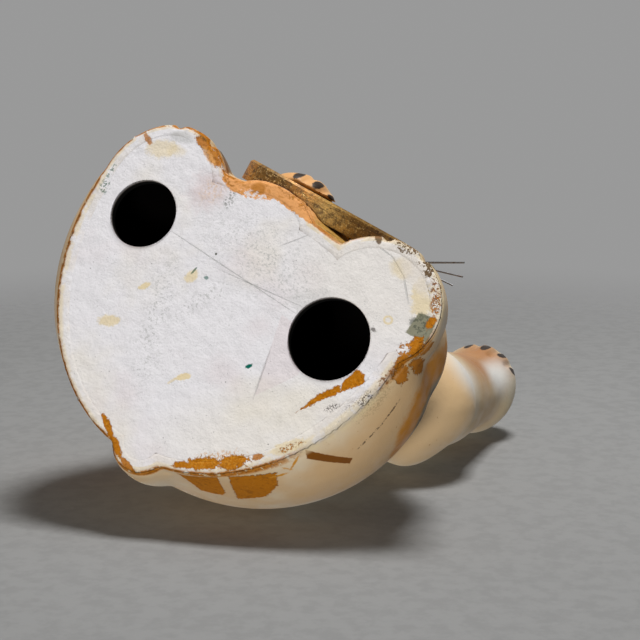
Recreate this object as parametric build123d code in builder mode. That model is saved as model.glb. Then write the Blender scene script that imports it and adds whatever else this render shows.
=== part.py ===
from build123d import *
import os
from math import cos, radians, sin, sqrt

# A beckoning cat in painted plaster, standing upright. +X is the cat's left, and the face looks along -Y.
# The hollow figure is cast in two halves that meet on a flat seam. A plate with two round openings
# closes it from below. The raised arm, the coin, the bell and the wire whiskers are made apart and set
# into the casting. The origin is on the ground, and all sizes are in millimetres and degrees.

# Fits
glue_gap = 0.3
seam_y = 14.0

# Torso: egg outlines at five heights, each a widest line with a half ellipse behind it and one in front.
# The haunch gives the width, and the outlines above and below it are drawn in from that.
haunch_height = 52.0
haunch_half_width = 103.5
haunch_widest_y = 15.0
haunch_back = 93.5
haunch_front = 59.0
base_draw = 11.0
base_half_width = haunch_half_width - base_draw
base_widest_y = -8.0
base_back = 111.0
base_front = 32.0
base_turn = 2.2
chest_height = 100.0
chest_draw = 23.5
chest_half_width = haunch_half_width - chest_draw
chest_widest_y = 8.0
chest_back = 80.0
chest_front = 52.0
neck_rise = 28.0
neck_height = chest_height + neck_rise
neck_draw = 22.0
neck_half_width = chest_half_width - neck_draw
neck_widest_y = 2.0
neck_back = 54.0
neck_front = 48.0
nape_rise = 34.0
nape_height = neck_height + nape_rise
nape_radius = 40.0

# Thighs: an ellipsoid on each flank
thigh_inset = 39.5
thigh_x = haunch_half_width - thigh_inset
thigh_y = -4.0
thigh_height = 46.0
thigh_half_width = 37.0
thigh_half_depth = 40.0
thigh_half_height = 46.0

# Feet, belly and tail: ellipsoids cut off at the ground, given by the print that they leave there
foot_height = 8.0
foot_half_height = 40.0
right_foot_inset = 32.5
right_foot_x = right_foot_inset - base_half_width
right_foot_y = -14.5
right_foot_half_width = 33.2
right_foot_half_depth = 36.9
left_foot_inset = 25.5
left_foot_x = base_half_width - left_foot_inset
left_foot_y = -20.8
left_foot_half_width = 34.0
left_foot_half_depth = 31.5
belly_x = -3.0
belly_y = -30.0
belly_height = 40.0
belly_half_height = 56.0
belly_half_width = 25.0
belly_half_depth = 16.8
tail_x = 4.0
tail_y = 92.0
tail_height = 20.0
tail_half_height = 34.0
tail_half_width = 16.0
tail_half_depth = 17.4

# Head, muzzle and ears
head_y = -8.0
head_rise = 47.0
head_height = neck_height + head_rise
head_half_width = 66.0
head_half_depth = 58.0
head_half_height = 56.0
muzzle_y = -58.0
muzzle_drop = 18.0
muzzle_height = head_height - muzzle_drop
muzzle_half_width = 25.0
muzzle_half_depth = 16.0
muzzle_half_height = 15.0
ear_spread = 37.0
ear_root_rise = 25.0
ear_root_height = head_height + ear_root_rise
ear_length = 58.0
ear_lean = 13.0
ear_root_half_width = 31.0
ear_root_half_depth = 18.0
ear_middle_rise = 30.0
ear_middle_half_width = 23.0
ear_middle_half_depth = 13.0
ear_tip_half_width = 6.5
ear_tip_half_depth = 4.5
ear_tip_round = 3.5
ear_hollow_rise = 32.0
ear_hollow_half_width = 14.0
ear_hollow_half_height = 20.0
ear_hollow_depth = 8.0

# Collar, a raised band round the neck
collar_width = 10.0
collar_rise = 3.5
collar_round = 3.0

# Oval coin that stands on its edge against the belly
coin_width = 86.0
coin_below_neck = 22.0
coin_height = neck_height - coin_below_neck
coin_thickness = 11.0
coin_tilt = -12.0
coin_lean = 8.5
coin_back_y = -49.5
coin_off_ground = 2.5
coin_centre_height = coin_height / 2 + coin_off_ground
coin_rim = 6.0
coin_recess = 1.6
coin_edge = 1.2

# Holding arm, from the right shoulder to the paw on the coin
hold_shoulder_inset = 22.0
hold_shoulder_rise = 18.0
hold_shoulder = (hold_shoulder_inset - chest_half_width, 0, chest_height + hold_shoulder_rise)
hold_shoulder_radius = 29.0
hold_wrist_radius = 17.0
hold_paw_x = -29.0
hold_paw_forward = 7.5
hold_paw_rise = 35.5
hold_paw = (hold_paw_x, coin_back_y - hold_paw_forward, coin_centre_height + hold_paw_rise)
hold_paw_half_width = 23.0
hold_paw_half_depth = 16.0
hold_paw_half_height = 19.0

# Raised arm, from the elbow at the left shoulder to the paw beside the head
arm_elbow_inset = 8.0
arm_elbow_y = 4.0
arm_elbow_rise = 8.0
arm_elbow = (chest_half_width - arm_elbow_inset, arm_elbow_y, neck_height + arm_elbow_rise)
arm_elbow_radius = 35.0
arm_forearm_radius = 30.0
arm_wrist_radius = 22.0
arm_paw_inset = 5.0
arm_paw_y = -28.0
arm_paw_rise = 47.0
arm_paw = (chest_half_width - arm_paw_inset, arm_paw_y, head_height + arm_paw_rise)
arm_paw_half_width = 25.0
arm_paw_half_depth = 28.0
arm_paw_half_height = 25.0
arm_seat_inset = 30.0
arm_seat_x = chest_half_width - arm_seat_inset
dowel_radius = 5.0
dowel_in_arm = 24.0
dowel_in_body = 18.0
dowel_edge = 1.0

# Hollow inside the casting
wall = 9.0
chest_hollow_radius = 42.0
neck_hollow_radius = 22.0
head_hollow_radius = 40.0

# Base plate, let in flush inside the rim of the casting
rim_width = 7.0
plate_thickness = 6.0
plate_ledge = 5.0
right_hole_shift = -1.0
right_hole_x = right_foot_x + right_hole_shift
right_hole_y = -1.4
right_hole_radius = 17.6
left_hole_shift = -9.0
left_hole_x = left_foot_x + left_hole_shift
left_hole_y = 5.6
left_hole_radius = 20.4

# Bell on the front of the collar
bell_radius = 9.5
bell_sink = 3.0
bell_drop = 7.0
bell_band_rise = 0.9
bell_band_width = 2.4
bell_slit_width = 1.8
bell_slit_depth = 4.0

# Whiskers: three tapered wires in drilled seats on each cheek
whisker_lengths = {"lower": 37.0, "middle": 33.0, "upper": 26.0}
whisker_radius = 0.75
whisker_tip_radius = 0.5
whisker_seat = 7.0
whisker_root_x = 23.0
whisker_root_forward = 8.0
whisker_root_drop = 4.0
whisker_root = (whisker_root_x, muzzle_y - whisker_root_forward, muzzle_height - whisker_root_drop)
whisker_pitch = 4.5
whisker_sweep = 13.0
whisker_sweep_step = 9.0
whisker_droop = 10.0
whisker_fan = 12.0


def egg(half_width, widest_y, back, front):
    """Sketch of two half ellipses that share the widest line."""
    with BuildSketch() as outline:
        with BuildLine():
            EllipticalCenterArc((0, widest_y), half_width, back, 0, arc_size=180)
            EllipticalCenterArc((0, widest_y), half_width, front, 180, arc_size=180)
        make_face()
    return outline.sketch


def base_egg(inset):
    """Torso's outline on the ground, turned a little as the hand-made original is, and drawn in."""
    with BuildSketch() as outline:
        add(
            egg(base_half_width - inset, base_widest_y, base_back - inset, base_front - inset),
            rotation=base_turn,
        )
    return outline.sketch


def ground_print(inset):
    """Print of the whole figure on the ground, drawn in from its edge."""
    with BuildSketch() as outline:
        add(base_egg(inset))
        with Locations((right_foot_x, right_foot_y)):
            Ellipse(right_foot_half_width - inset, right_foot_half_depth - inset)
        with Locations((left_foot_x, left_foot_y)):
            Ellipse(left_foot_half_width - inset, left_foot_half_depth - inset)
        with Locations((belly_x, belly_y)):
            Ellipse(belly_half_width - inset, belly_half_depth - inset)
        with Locations((tail_x, tail_y)):
            Ellipse(tail_half_width - inset, tail_half_depth - inset)
    return outline.sketch


def ellipsoid(centre, half_width, half_depth, half_height):
    """Ellipsoid about a centre, with half sizes along X, Y and Z."""
    with BuildPart() as ball:
        Sphere(1)
        scale(by=(half_width, half_depth, half_height))
    return ball.part.moved(Location(centre))


def standing_blob(x, y, half_width, half_depth, height, half_height):
    """Ellipsoid centred at a height, whose cut at the ground has the given half sizes."""
    shrink = sqrt(1 - (height / half_height) ** 2)
    return ellipsoid((x, y, height), half_width / shrink, half_depth / shrink, half_height)


def limb(start, end, start_radius, end_radius):
    """Limb with round ends that narrows smoothly, turned about the line from start to end."""
    line = Vector(*end) - Vector(*start)
    with BuildPart() as form:
        with BuildSketch(Plane(origin=start, x_dir=line, z_dir=line.cross(Vector(0, 0, 1)))):
            with BuildLine():
                root = CenterArc((0, 0), start_radius, 90, 90)
                tip = CenterArc((line.length, 0), end_radius, 0, 90)
                Spline(root @ 0, tip @ 1, tangents=((1, 0), (1, 0)))
                Line(root @ 1, tip @ 0)
            make_face()
        revolve(axis=Axis(start, line))
    return form.part


def raised_arm_form(grow):
    """Raised arm with its paw, grown all round, and cut flat where it meets the shoulder and the cheek."""
    with BuildPart() as form:
        with Locations(arm_elbow):
            Sphere(arm_elbow_radius + grow)
        add(limb(arm_elbow, arm_paw, arm_forearm_radius + grow, arm_wrist_radius + grow))
        add(
            ellipsoid(
                arm_paw, arm_paw_half_width + grow, arm_paw_half_depth + grow, arm_paw_half_height + grow
            )
        )
        split(bisect_by=Plane.YZ.offset(arm_seat_x), keep=Keep.TOP)
    return form.part


def coin_blank(grow):
    """Plain oval coin, grown at its edge and at its face but not at its flat back."""
    with BuildPart() as form:
        with BuildSketch(coin_back_plane):
            Ellipse(coin_width / 2 + grow, coin_height / 2 + grow, rotation=coin_tilt)
        extrude(amount=coin_thickness + grow)
    return form.part


def bell_form(grow):
    """Ball of the bell with the band round its middle, grown all round."""
    with BuildPart() as form:
        Sphere(bell_radius + grow)
        Cylinder(bell_radius + bell_band_rise + grow, bell_band_width + 2 * grow)
    return form.part


def dowel_form(grow):
    """Round dowel across the seat of the raised arm, grown at its side."""
    with BuildPart() as form:
        with BuildSketch(Plane.YZ.offset(arm_seat_x - dowel_in_body)):
            with Locations(arm_elbow[1:]):
                Circle(dowel_radius + grow)
        extrude(amount=dowel_in_body + dowel_in_arm)
    return form.part


def whisker_seat_plane(side, step):
    """Plane at the inner end of a whisker, with its normal along the wire, for side 1 (left) or -1 (right)."""
    x, y, z = whisker_root
    sweep = radians(whisker_sweep - step * whisker_sweep_step)
    rise = radians(step * whisker_fan - whisker_droop)
    along = (side * cos(rise) * cos(sweep), -cos(rise) * sin(sweep), sin(rise))
    return Plane(origin=(side * x, y, z + step * whisker_pitch), z_dir=along).offset(-whisker_seat)


# Plane of the coin's flat back, whose normal points to the front and leans down a little
coin_back_plane = Plane(
    origin=(0, coin_back_y, coin_centre_height),
    x_dir=(1, 0, 0),
    z_dir=(0, -cos(radians(coin_lean)), -sin(radians(coin_lean))),
)

# Where each whisker sits, and how long it stands out
whiskers = {
    f"whisker_{side_name}_{row}": (whisker_seat_plane(side, step), whisker_lengths[row])
    for side_name, side in (("left", 1), ("right", -1))
    for row, step in (("lower", -1), ("middle", 0), ("upper", 1))
}

# Torso, lofted through its five outlines
with BuildPart() as torso:
    with BuildSketch():
        add(base_egg(0))
    with BuildSketch(Plane.XY.offset(haunch_height)):
        add(egg(haunch_half_width, haunch_widest_y, haunch_back, haunch_front))
    with BuildSketch(Plane.XY.offset(chest_height)):
        add(egg(chest_half_width, chest_widest_y, chest_back, chest_front))
    with BuildSketch(Plane.XY.offset(neck_height)):
        add(egg(neck_half_width, neck_widest_y, neck_back, neck_front))
    with BuildSketch(Plane.XY.offset(nape_height)):
        add(egg(nape_radius, neck_widest_y, nape_radius, nape_radius))
    loft()

# One ear, hollowed in front, which the figure has on both sides
with BuildPart() as ear:
    ear_root = Plane(origin=(ear_spread, head_y, ear_root_height)).rotated((0, ear_lean, 0))
    with BuildSketch(ear_root):
        Ellipse(ear_root_half_width, ear_root_half_depth)
    with BuildSketch(ear_root.offset(ear_middle_rise)):
        Ellipse(ear_middle_half_width, ear_middle_half_depth)
    with BuildSketch(ear_root.offset(ear_length)):
        Ellipse(ear_tip_half_width, ear_tip_half_depth)
    loft()
    fillet(ear.faces().sort_by(Axis.Z)[-1].edges(), ear_tip_round)
    with Locations(ear_root):
        scoop = ellipsoid(
            (0, -ear_middle_half_depth, ear_hollow_rise),
            ear_hollow_half_width,
            ear_hollow_depth,
            ear_hollow_half_height,
        )
        add(scoop, mode=Mode.SUBTRACT)

# Collar, filleted before it joins the neck
with BuildPart() as collar:
    with BuildSketch(Plane.XY.offset(neck_height - collar_width / 2)):
        add(
            egg(
                neck_half_width + collar_rise,
                neck_widest_y,
                neck_back + collar_rise,
                neck_front + collar_rise,
            )
        )
    extrude(amount=collar_width)
    fillet(collar.faces().filter_by(Axis.Z).edges(), collar_round)

# Hollow of the casting: a belly, a neck passage and a round head space
with BuildPart() as hollow:
    with BuildSketch(Plane.XY.offset(plate_thickness)):
        add(base_egg(rim_width + plate_ledge))
    with BuildSketch(Plane.XY.offset(haunch_height)):
        add(egg(haunch_half_width - wall, haunch_widest_y, haunch_back - wall, haunch_front - wall))
    with BuildSketch(Plane.XY.offset(chest_height)):
        add(egg(chest_hollow_radius, chest_widest_y, chest_hollow_radius, chest_hollow_radius))
    loft()
    with BuildSketch(Plane.XY.offset(chest_height)):
        with Locations((0, neck_widest_y)):
            Circle(neck_hollow_radius)
    extrude(amount=head_height - chest_height)
    with Locations((0, head_y, head_height)):
        Sphere(head_hollow_radius)

# Place of the bell, sunk a little into the front of the collar
bell_place = Location(
    (0, neck_widest_y - neck_front - collar_rise - bell_radius + bell_sink, neck_height - bell_drop)
)

# Whole casting, before it is parted at the seam
with BuildPart() as casting:
    add(torso.part)
    for side in (-1, 1):
        place = (side * thigh_x, thigh_y, thigh_height)
        add(ellipsoid(place, thigh_half_width, thigh_half_depth, thigh_half_height))
    add(
        standing_blob(
            right_foot_x,
            right_foot_y,
            right_foot_half_width,
            right_foot_half_depth,
            foot_height,
            foot_half_height,
        )
    )
    add(
        standing_blob(
            left_foot_x, left_foot_y, left_foot_half_width, left_foot_half_depth, foot_height, foot_half_height
        )
    )
    add(standing_blob(belly_x, belly_y, belly_half_width, belly_half_depth, belly_height, belly_half_height))
    add(standing_blob(tail_x, tail_y, tail_half_width, tail_half_depth, tail_height, tail_half_height))
    add(ellipsoid((0, head_y, head_height), head_half_width, head_half_depth, head_half_height))
    add(ellipsoid((0, muzzle_y, muzzle_height), muzzle_half_width, muzzle_half_depth, muzzle_half_height))
    add(ear.part)
    add(mirror(ear.part, about=Plane.YZ, mode=Mode.PRIVATE))
    add(limb(hold_shoulder, hold_paw, hold_shoulder_radius, hold_wrist_radius))
    add(ellipsoid(hold_paw, hold_paw_half_width, hold_paw_half_depth, hold_paw_half_height))
    add(collar.part)
    split(bisect_by=Plane.XY, keep=Keep.TOP)
    add(hollow.part, mode=Mode.SUBTRACT)
    # Pocket for the base plate
    with BuildSketch():
        add(ground_print(rim_width))
    extrude(amount=plate_thickness, mode=Mode.SUBTRACT)
    # Seats of the pieces that are set in
    add(raised_arm_form(glue_gap), mode=Mode.SUBTRACT)
    add(dowel_form(glue_gap), mode=Mode.SUBTRACT)
    add(coin_blank(glue_gap), mode=Mode.SUBTRACT)
    add(bell_form(glue_gap).moved(bell_place), mode=Mode.SUBTRACT)
    for seat, length in whiskers.values():
        with BuildSketch(seat):
            Circle(whisker_radius + glue_gap)
        extrude(amount=whisker_seat + length, mode=Mode.SUBTRACT)

# Front half of the casting: face, chest, belly, holding arm and feet
with BuildPart() as body_front:
    add(casting.part)
    split(bisect_by=Plane.XZ.offset(-seam_y), keep=Keep.TOP)

# Back half of the casting: back of the head, back and tail
with BuildPart() as body_back:
    add(casting.part)
    split(bisect_by=Plane.XZ.offset(-seam_y), keep=Keep.BOTTOM)

# Base plate with the two openings that the plaster was poured and drained through
with BuildPart() as base_plate:
    with BuildSketch():
        add(ground_print(rim_width + glue_gap))
    extrude(amount=plate_thickness)
    with Locations((right_hole_x, right_hole_y, plate_thickness)):
        Hole(right_hole_radius)
    with Locations((left_hole_x, left_hole_y, plate_thickness)):
        Hole(left_hole_radius)

# Raised arm, drilled for its dowel
with BuildPart() as raised_arm:
    add(raised_arm_form(0))
    add(dowel_form(glue_gap), mode=Mode.SUBTRACT)

with BuildPart() as arm_dowel:
    add(dowel_form(0))
    chamfer(arm_dowel.faces().filter_by(Axis.X).edges(), dowel_edge)

# Coin with a raised rim round its recessed face
with BuildPart() as coin:
    add(coin_blank(0))
    with BuildSketch(coin_back_plane.offset(coin_thickness)):
        Ellipse(coin_width / 2 - coin_rim, coin_height / 2 - coin_rim, rotation=coin_tilt)
    extrude(amount=-coin_recess, mode=Mode.SUBTRACT)
    chamfer(coin.faces().sort_by(Axis.Y)[0].outer_wire().edges(), coin_edge)

# Bell with a slit across its lower side
with BuildPart() as bell:
    add(bell_form(0))
    with Locations((0, 0, -bell_radius)):
        Box(2 * bell_radius, bell_slit_width, 2 * bell_slit_depth, mode=Mode.SUBTRACT)
bell.part.locate(bell_place)

os.makedirs("parts", exist_ok=True)
pieces = {
    "body_front": body_front.part,
    "body_back": body_back.part,
    "base_plate": base_plate.part,
    "raised_arm": raised_arm.part,
    "arm_dowel": arm_dowel.part,
    "coin": coin.part,
    "bell": bell.part,
}
for name, (seat, length) in whiskers.items():
    with BuildPart(seat) as whisker:
        Cone(
            whisker_radius,
            whisker_tip_radius,
            whisker_seat + length,
            align=(Align.CENTER, Align.CENTER, Align.MIN),
        )
    pieces[name] = whisker.part
for name, piece in pieces.items():
    piece.label = name
    export_step(piece, f"parts/{name}.step")
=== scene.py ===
"""Looks of a beckoning cat in painted plaster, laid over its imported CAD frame.

The cat stands upright in the frame: +X is its left, its face looks along -Y and +Z is up. The photograph
shows it lying on its back and left side, so the studio is built round it at that slant, and the camera looks
at the underside. Places on the figure are given in millimetres, and lengths in the studio in metres.
"""

import logging
import math
from dataclasses import dataclass
from enum import Enum
from typing import Sequence

import bmesh
import bpy
import numpy as np
from mathutils import Matrix, Vector
from mathutils.bvhtree import BVHTree


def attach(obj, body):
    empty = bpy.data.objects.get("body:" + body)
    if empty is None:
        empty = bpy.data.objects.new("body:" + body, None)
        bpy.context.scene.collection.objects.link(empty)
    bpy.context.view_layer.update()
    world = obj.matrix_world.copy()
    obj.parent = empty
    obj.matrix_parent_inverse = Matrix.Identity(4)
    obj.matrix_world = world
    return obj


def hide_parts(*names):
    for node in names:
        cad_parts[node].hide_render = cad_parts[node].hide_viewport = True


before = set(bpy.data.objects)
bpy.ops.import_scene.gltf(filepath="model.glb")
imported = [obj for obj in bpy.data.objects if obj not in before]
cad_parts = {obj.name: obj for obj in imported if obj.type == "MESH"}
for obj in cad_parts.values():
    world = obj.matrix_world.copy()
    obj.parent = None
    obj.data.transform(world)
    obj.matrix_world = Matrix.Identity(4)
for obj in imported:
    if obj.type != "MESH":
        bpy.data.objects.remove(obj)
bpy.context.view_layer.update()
LOG = logging.getLogger("beckoning_cat")
# Body that every piece rides on
BODY = "root"
# One millimetre, in metres
MM = 0.001
# Where the two halves of the casting meet, in millimetres
SEAM_Y = 14.0
# Distances in metres: doubled vertices are merged within the first, and those at the seam within the second
WELD = 1e-6
SEAM_WELD = 6e-5
# How far from the seam's plane a face still lies on it, in metres
SEAM_SLACK = 2e-5
# Width of the ramp across the side of a flake, in millimetres
RAMP = 12.0

Point = tuple[float, float, float]
Socket = bpy.types.NodeSocket


class Paint(Enum):
    """Paint, plaster and metal colours, as display red, green and blue from 0 to 255."""

    PLASTER = (236, 233, 235)
    PLASTER_WARM = (235, 226, 208)
    PLASTER_ROSE = (222, 206, 206)
    PLASTER_GREY = (178, 178, 174)
    RIM = (229, 220, 210)
    SPECK = (104, 106, 98)
    GLUE = (232, 212, 168)
    OCHRE = (186, 113, 8)
    OCHRE_PALE = (208, 142, 44)
    OCHRE_DARK = (128, 74, 6)
    APRICOT = (236, 168, 104)
    PEACH = (230, 168, 100)
    CREAM = (226, 207, 168)
    CHALK = (234, 225, 204)
    TAN = (216, 176, 126)
    # Paler tan that stands in for the light on the raised elbow (painted light)
    SAND_PAINTED_LIGHT = (238, 200, 148)
    AIRBRUSH = (172, 112, 58)
    AMBER = (190, 122, 44)
    CLAW = (46, 32, 20)
    CLAW_WORN = (100, 74, 40)
    CALICO = (210, 136, 0)
    BLACK = (34, 30, 28)
    OLIVE = (92, 84, 44)
    GREEN = (46, 96, 68)
    TEAL = (0, 104, 88)
    MOSS = (134, 132, 108)
    MOSS_DARK = (78, 84, 70)
    RED = (160, 34, 28)
    EYE = (214, 168, 44)
    WHITE = (244, 242, 236)
    # Black painted shade for the unlit inside of the casting and of the plate's openings
    DARK = (10, 8, 7)
    GOLD = (186, 138, 56)
    GOLD_PALE = (214, 180, 112)
    GOLD_DARK = (74, 50, 20)
    BRASS = (190, 148, 70)
    BRASS_DARK = (92, 66, 28)
    WIRE = (128, 128, 130)
    RUST = (104, 66, 40)
    WOOD = (190, 154, 108)
    WOOD_DARK = (150, 112, 70)
    PAPER = (150, 150, 149)
    PAPER_SHADE = (144, 144, 143)

    @property
    def linear(self) -> tuple[float, float, float, float]:
        """The colour in the linear values that a shader takes.

        Returns:
            Red, green, blue and an alpha of 1.
        """
        def part(level: float) -> float:
            """One channel from 0 to 255, as a linear value."""
            share = level / 255
            return share / 12.92 if share <= 0.04045 else ((share + 0.055) / 1.055) ** 2.4

        red, green, blue = self.value
        return part(red), part(green), part(blue), 1.0


@dataclass(frozen=True)
class Mark:
    """A patch of paint, stain or bare ground: an ellipsoid in which the surface takes another colour.

    Attributes:
        paint: Colour of the patch.
        centre: Middle of the ellipsoid, in millimetres.
        half: Its half sizes.
        turn: Its turn about X, Y and Z, in degrees.
        ragged: How far the outline wanders, as a share of the half sizes.
        fray: Size of the outline's notches, in millimetres.
        soft: How softly the patch ends, as a share of the half sizes.
        strength: How much of what is below it covers.
        speckle: Size of the specks that it breaks up into, or 0 for an unbroken patch.
    """

    paint: Paint
    centre: Point
    half: Point
    turn: Point = (0.0, 0.0, 0.0)
    ragged: float = 0.0
    fray: float = 2.0
    soft: float = 0.1
    strength: float = 1.0
    speckle: float = 0.0


@dataclass(frozen=True)
class Flake:
    """A patch with straight sides, where paint came away.

    Attributes:
        paint: Colour of the patch.
        corners: Its corners in order, in millimetres, with no inward corner.
        ragged: How far the outline wanders, in millimetres.
        strength: How much of what is below it covers.
    """

    paint: Paint
    corners: tuple[Point, ...]
    ragged: float = 1.6
    strength: float = 1.0


@dataclass(frozen=True)
class Dent:
    """A groove pressed into a surface along a line, or a swelling where its depth is below zero.

    Attributes:
        start: One end of the line, in millimetres.
        end: Its other end.
        radius: How far from the line it reaches.
        depth: How deep it is on the line.
    """

    start: Point
    end: Point
    radius: float
    depth: float


def flat_mark(
    paint: Paint,
    x: float,
    y: float,
    half_x: float,
    half_y: float,
    turn: float = 0.0,
    ragged: float = 0.5,
    strength: float = 1.0,
    soft: float = 0.1,
    fray: float = 2.0,
    speckle: float = 0.0,
) -> Mark:
    """Mark on the underside.

    Args:
        paint: Colour of the mark.
        x: Centre across the figure, in millimetres.
        y: Centre along the figure, in millimetres.
        half_x: Half size along the mark's own first axis.
        half_y: Half size along its second axis.
        turn: Angle of the first axis from +X, in degrees.
        ragged: How far the outline wanders, as a share of the half sizes.
        strength: How much of what is below the mark covers.
        soft: How softly the mark ends, as a share of the half sizes.
        fray: Size of the outline's notches, in millimetres.
        speckle: Size of the specks that it breaks up into, or 0 for an unbroken patch.

    Returns:
        The mark, which reaches a few millimetres up the wall.
    """
    return Mark(
        paint, (x, y, 0.0), (half_x, half_y, 4.0), (0.0, 0.0, turn), ragged, fray, soft, strength, speckle
    )


def flat_flake(
    paint: Paint, corners: Sequence[tuple[float, float]], ragged: float = 1.6, strength: float = 1.0
) -> Flake:
    """Flake on the underside.

    Args:
        paint: Colour of the flake.
        corners: Its corners in order, across and along the figure, in millimetres.
        ragged: How far the outline wanders, in millimetres.
        strength: How much of what is below it covers.

    Returns:
        The flake, level with the ground.
    """
    return Flake(paint, tuple((x, y, 0.0) for x, y in corners), ragged, strength)


def stroke(
    paint: Paint, start: Point, end: Point, width: float, soft: float = 0.25, ragged: float = 0.0
) -> Mark:
    """Brush stroke between two places.

    Args:
        paint: Colour of the stroke.
        start: One end, in millimetres.
        end: The other end.
        width: Half width of the stroke.
        soft: How softly it ends, as a share of its width.
        ragged: How far its outline wanders.

    Returns:
        A long thin mark along the line.
    """
    line = Vector(end) - Vector(start)
    middle = (Vector(start) + Vector(end)) / 2
    turn = Vector((1.0, 0.0, 0.0)).rotation_difference(line.normalized()).to_euler()
    half = (line.length / 2 + width, width, width)
    degrees = tuple(math.degrees(angle) for angle in turn)
    return Mark(paint, tuple(middle), half, degrees, ragged, 2.0, soft)


class PaintBox:
    """One node material, with short calls for the layers that a painted surface is built from."""

    def __init__(self, name: str, ground: Paint) -> None:
        """Starts a material on one ground colour.

        Args:
            name: Name of the material.
            ground: Colour that everything else is laid over.
        """
        self.material = bpy.data.materials.new(name)
        self.material.use_nodes = True
        self.tree = self.material.node_tree
        self.tree.nodes.clear()
        parts = self.node("ShaderNodeGroup", node_tree=self.surface_parts()).outputs
        self.y, self.z = parts["y"], parts["z"]
        self.facing_y, self.facing_z = parts["facing_y"], parts["facing_z"]
        self.place: Socket = self.node("ShaderNodeTexCoord").outputs["Object"]
        self.colour: Socket | tuple[float, float, float, float] = ground.linear
        self.height: Socket | None = None
        self.roughness: Socket | float = 0.6
        self.matt: Socket | None = None
        self._frays: dict[tuple[float, float], Socket] = {}

    @staticmethod
    def surface_parts() -> bpy.types.NodeTree:
        """Group that gives a surface's place and facing as six single values.

        Returns:
            The group, which is made once and shared by all materials.
        """
        shared = bpy.data.node_groups.get("surface_parts")
        if shared is not None:
            return shared
        group = bpy.data.node_groups.new("surface_parts", "ShaderNodeTree")
        source = group.nodes.new("ShaderNodeTexCoord")
        result = group.nodes.new("NodeGroupOutput")
        for prefix, output in (("", "Object"), ("facing_", "Normal")):
            split = group.nodes.new("ShaderNodeSeparateXYZ")
            group.links.new(source.outputs[output], split.inputs[0])
            for axis in range(3):
                name = prefix + "xyz"[axis]
                group.interface.new_socket(name, in_out="OUTPUT", socket_type="NodeSocketFloat")
                group.links.new(split.outputs[axis], result.inputs[name])
        return group

    def node(self, kind: str, **settings: object) -> bpy.types.Node:
        """Adds a node and sets its options.

        Args:
            kind: Blender's name for the kind of node.
            **settings: Options of the node, by name.

        Returns:
            The new node.
        """
        made = self.tree.nodes.new(kind)
        for key, value in settings.items():
            setattr(made, key, value)
        return made

    def feed(self, socket: Socket, value: object) -> None:
        """Links a socket to another, or sets its own value.

        Args:
            socket: Socket of a node that takes a value.
            value: Socket to link it to, or a number or colour.
        """
        if isinstance(value, bpy.types.NodeSocket):
            self.tree.links.new(value, socket)
        else:
            socket.default_value = value

    def sum(self, operation: str, *values: Socket | float) -> Socket:
        """Adds one math node.

        Args:
            operation: Blender's name for the operation.
            *values: Sockets or numbers that it works on.

        Returns:
            The node's result.
        """
        made = self.node("ShaderNodeMath", operation=operation)
        for socket, value in zip(made.inputs, values):
            self.feed(socket, value)
        return made.outputs[0]

    def fade(self, value: Socket, low: float, high: float) -> Socket:
        """Smooth step between two levels.

        Args:
            value: What is compared.
            low: Level that gives 0.
            high: Level that gives 1, which may lie below low.

        Returns:
            A value from 0 to 1.
        """
        made = self.node("ShaderNodeMapRange", interpolation_type="SMOOTHSTEP")
        for socket, number in zip(made.inputs, (value, low, high, 0.0, 1.0)):
            self.feed(socket, number)
        return made.outputs[0]

    def between(self, value: Socket, low: float, high: float, soft: float) -> Socket:
        """Mask that is 1 between two levels and fades out over a soft edge on both sides."""
        return self.both(self.fade(value, low - soft, low + soft), self.fade(value, high + soft, high - soft))

    def both(self, *masks: Socket) -> Socket:
        """Mask where all the given masks are.

        Args:
            *masks: Masks from 0 to 1.

        Returns:
            Their product.
        """
        result = masks[0]
        for mask in masks[1:]:
            result = self.sum("MULTIPLY", result, mask)
        return result

    def either(self, *masks: Socket) -> Socket:
        """Mask where any of the given masks is.

        Args:
            *masks: Masks from 0 to 1.

        Returns:
            The largest of them.
        """
        result = masks[0]
        for mask in masks[1:]:
            result = self.sum("MAXIMUM", result, mask)
        return result

    def outside(self, mask: Socket) -> Socket:
        """Mask where the given mask isn't."""
        return self.sum("SUBTRACT", 1.0, mask)

    def grain(self, size: float, detail: float = 2.0, roughness: float = 0.5, shift: float = 0.0) -> Socket:
        """Cloudy noise.

        Args:
            size: Width of its lumps, in millimetres.
            detail: How many finer layers it has.
            roughness: How strong the finer layers are.
            shift: Offset that makes one noise unlike another.

        Returns:
            A value that is mostly between 0.3 and 0.7.
        """
        made = self.node("ShaderNodeTexNoise")
        source: Socket = self.place
        if shift:
            moved = self.node("ShaderNodeMapping")
            self.feed(moved.inputs["Vector"], self.place)
            moved.inputs["Location"].default_value = (shift, 0.37 * shift, -0.61 * shift)
            source = moved.outputs[0]
        self.feed(made.inputs["Vector"], source)
        made.inputs["Scale"].default_value = 1.0 / (size * MM)
        made.inputs["Detail"].default_value = detail
        made.inputs["Roughness"].default_value = roughness
        return made.outputs[0]

    def streaks(self, sizes: Point, turn: Point = (0.0, 0.0, 0.0)) -> Socket:
        """Noise that is drawn out along a line.

        Args:
            sizes: Width of its lumps along three axes, in millimetres.
            turn: Turn of those axes about X, Y and Z, in degrees.

        Returns:
            A value that is mostly between 0.3 and 0.7.
        """
        spot = self.node("ShaderNodeMapping", vector_type="TEXTURE")
        self.feed(spot.inputs["Vector"], self.place)
        spot.inputs["Rotation"].default_value = [math.radians(angle) for angle in turn]
        spot.inputs["Scale"].default_value = Vector(sizes) * MM
        made = self.node("ShaderNodeTexNoise")
        self.feed(made.inputs["Vector"], spot.outputs[0])
        made.inputs["Scale"].default_value = 1.0
        made.inputs["Detail"].default_value = 3.0
        return made.outputs[0]

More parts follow.
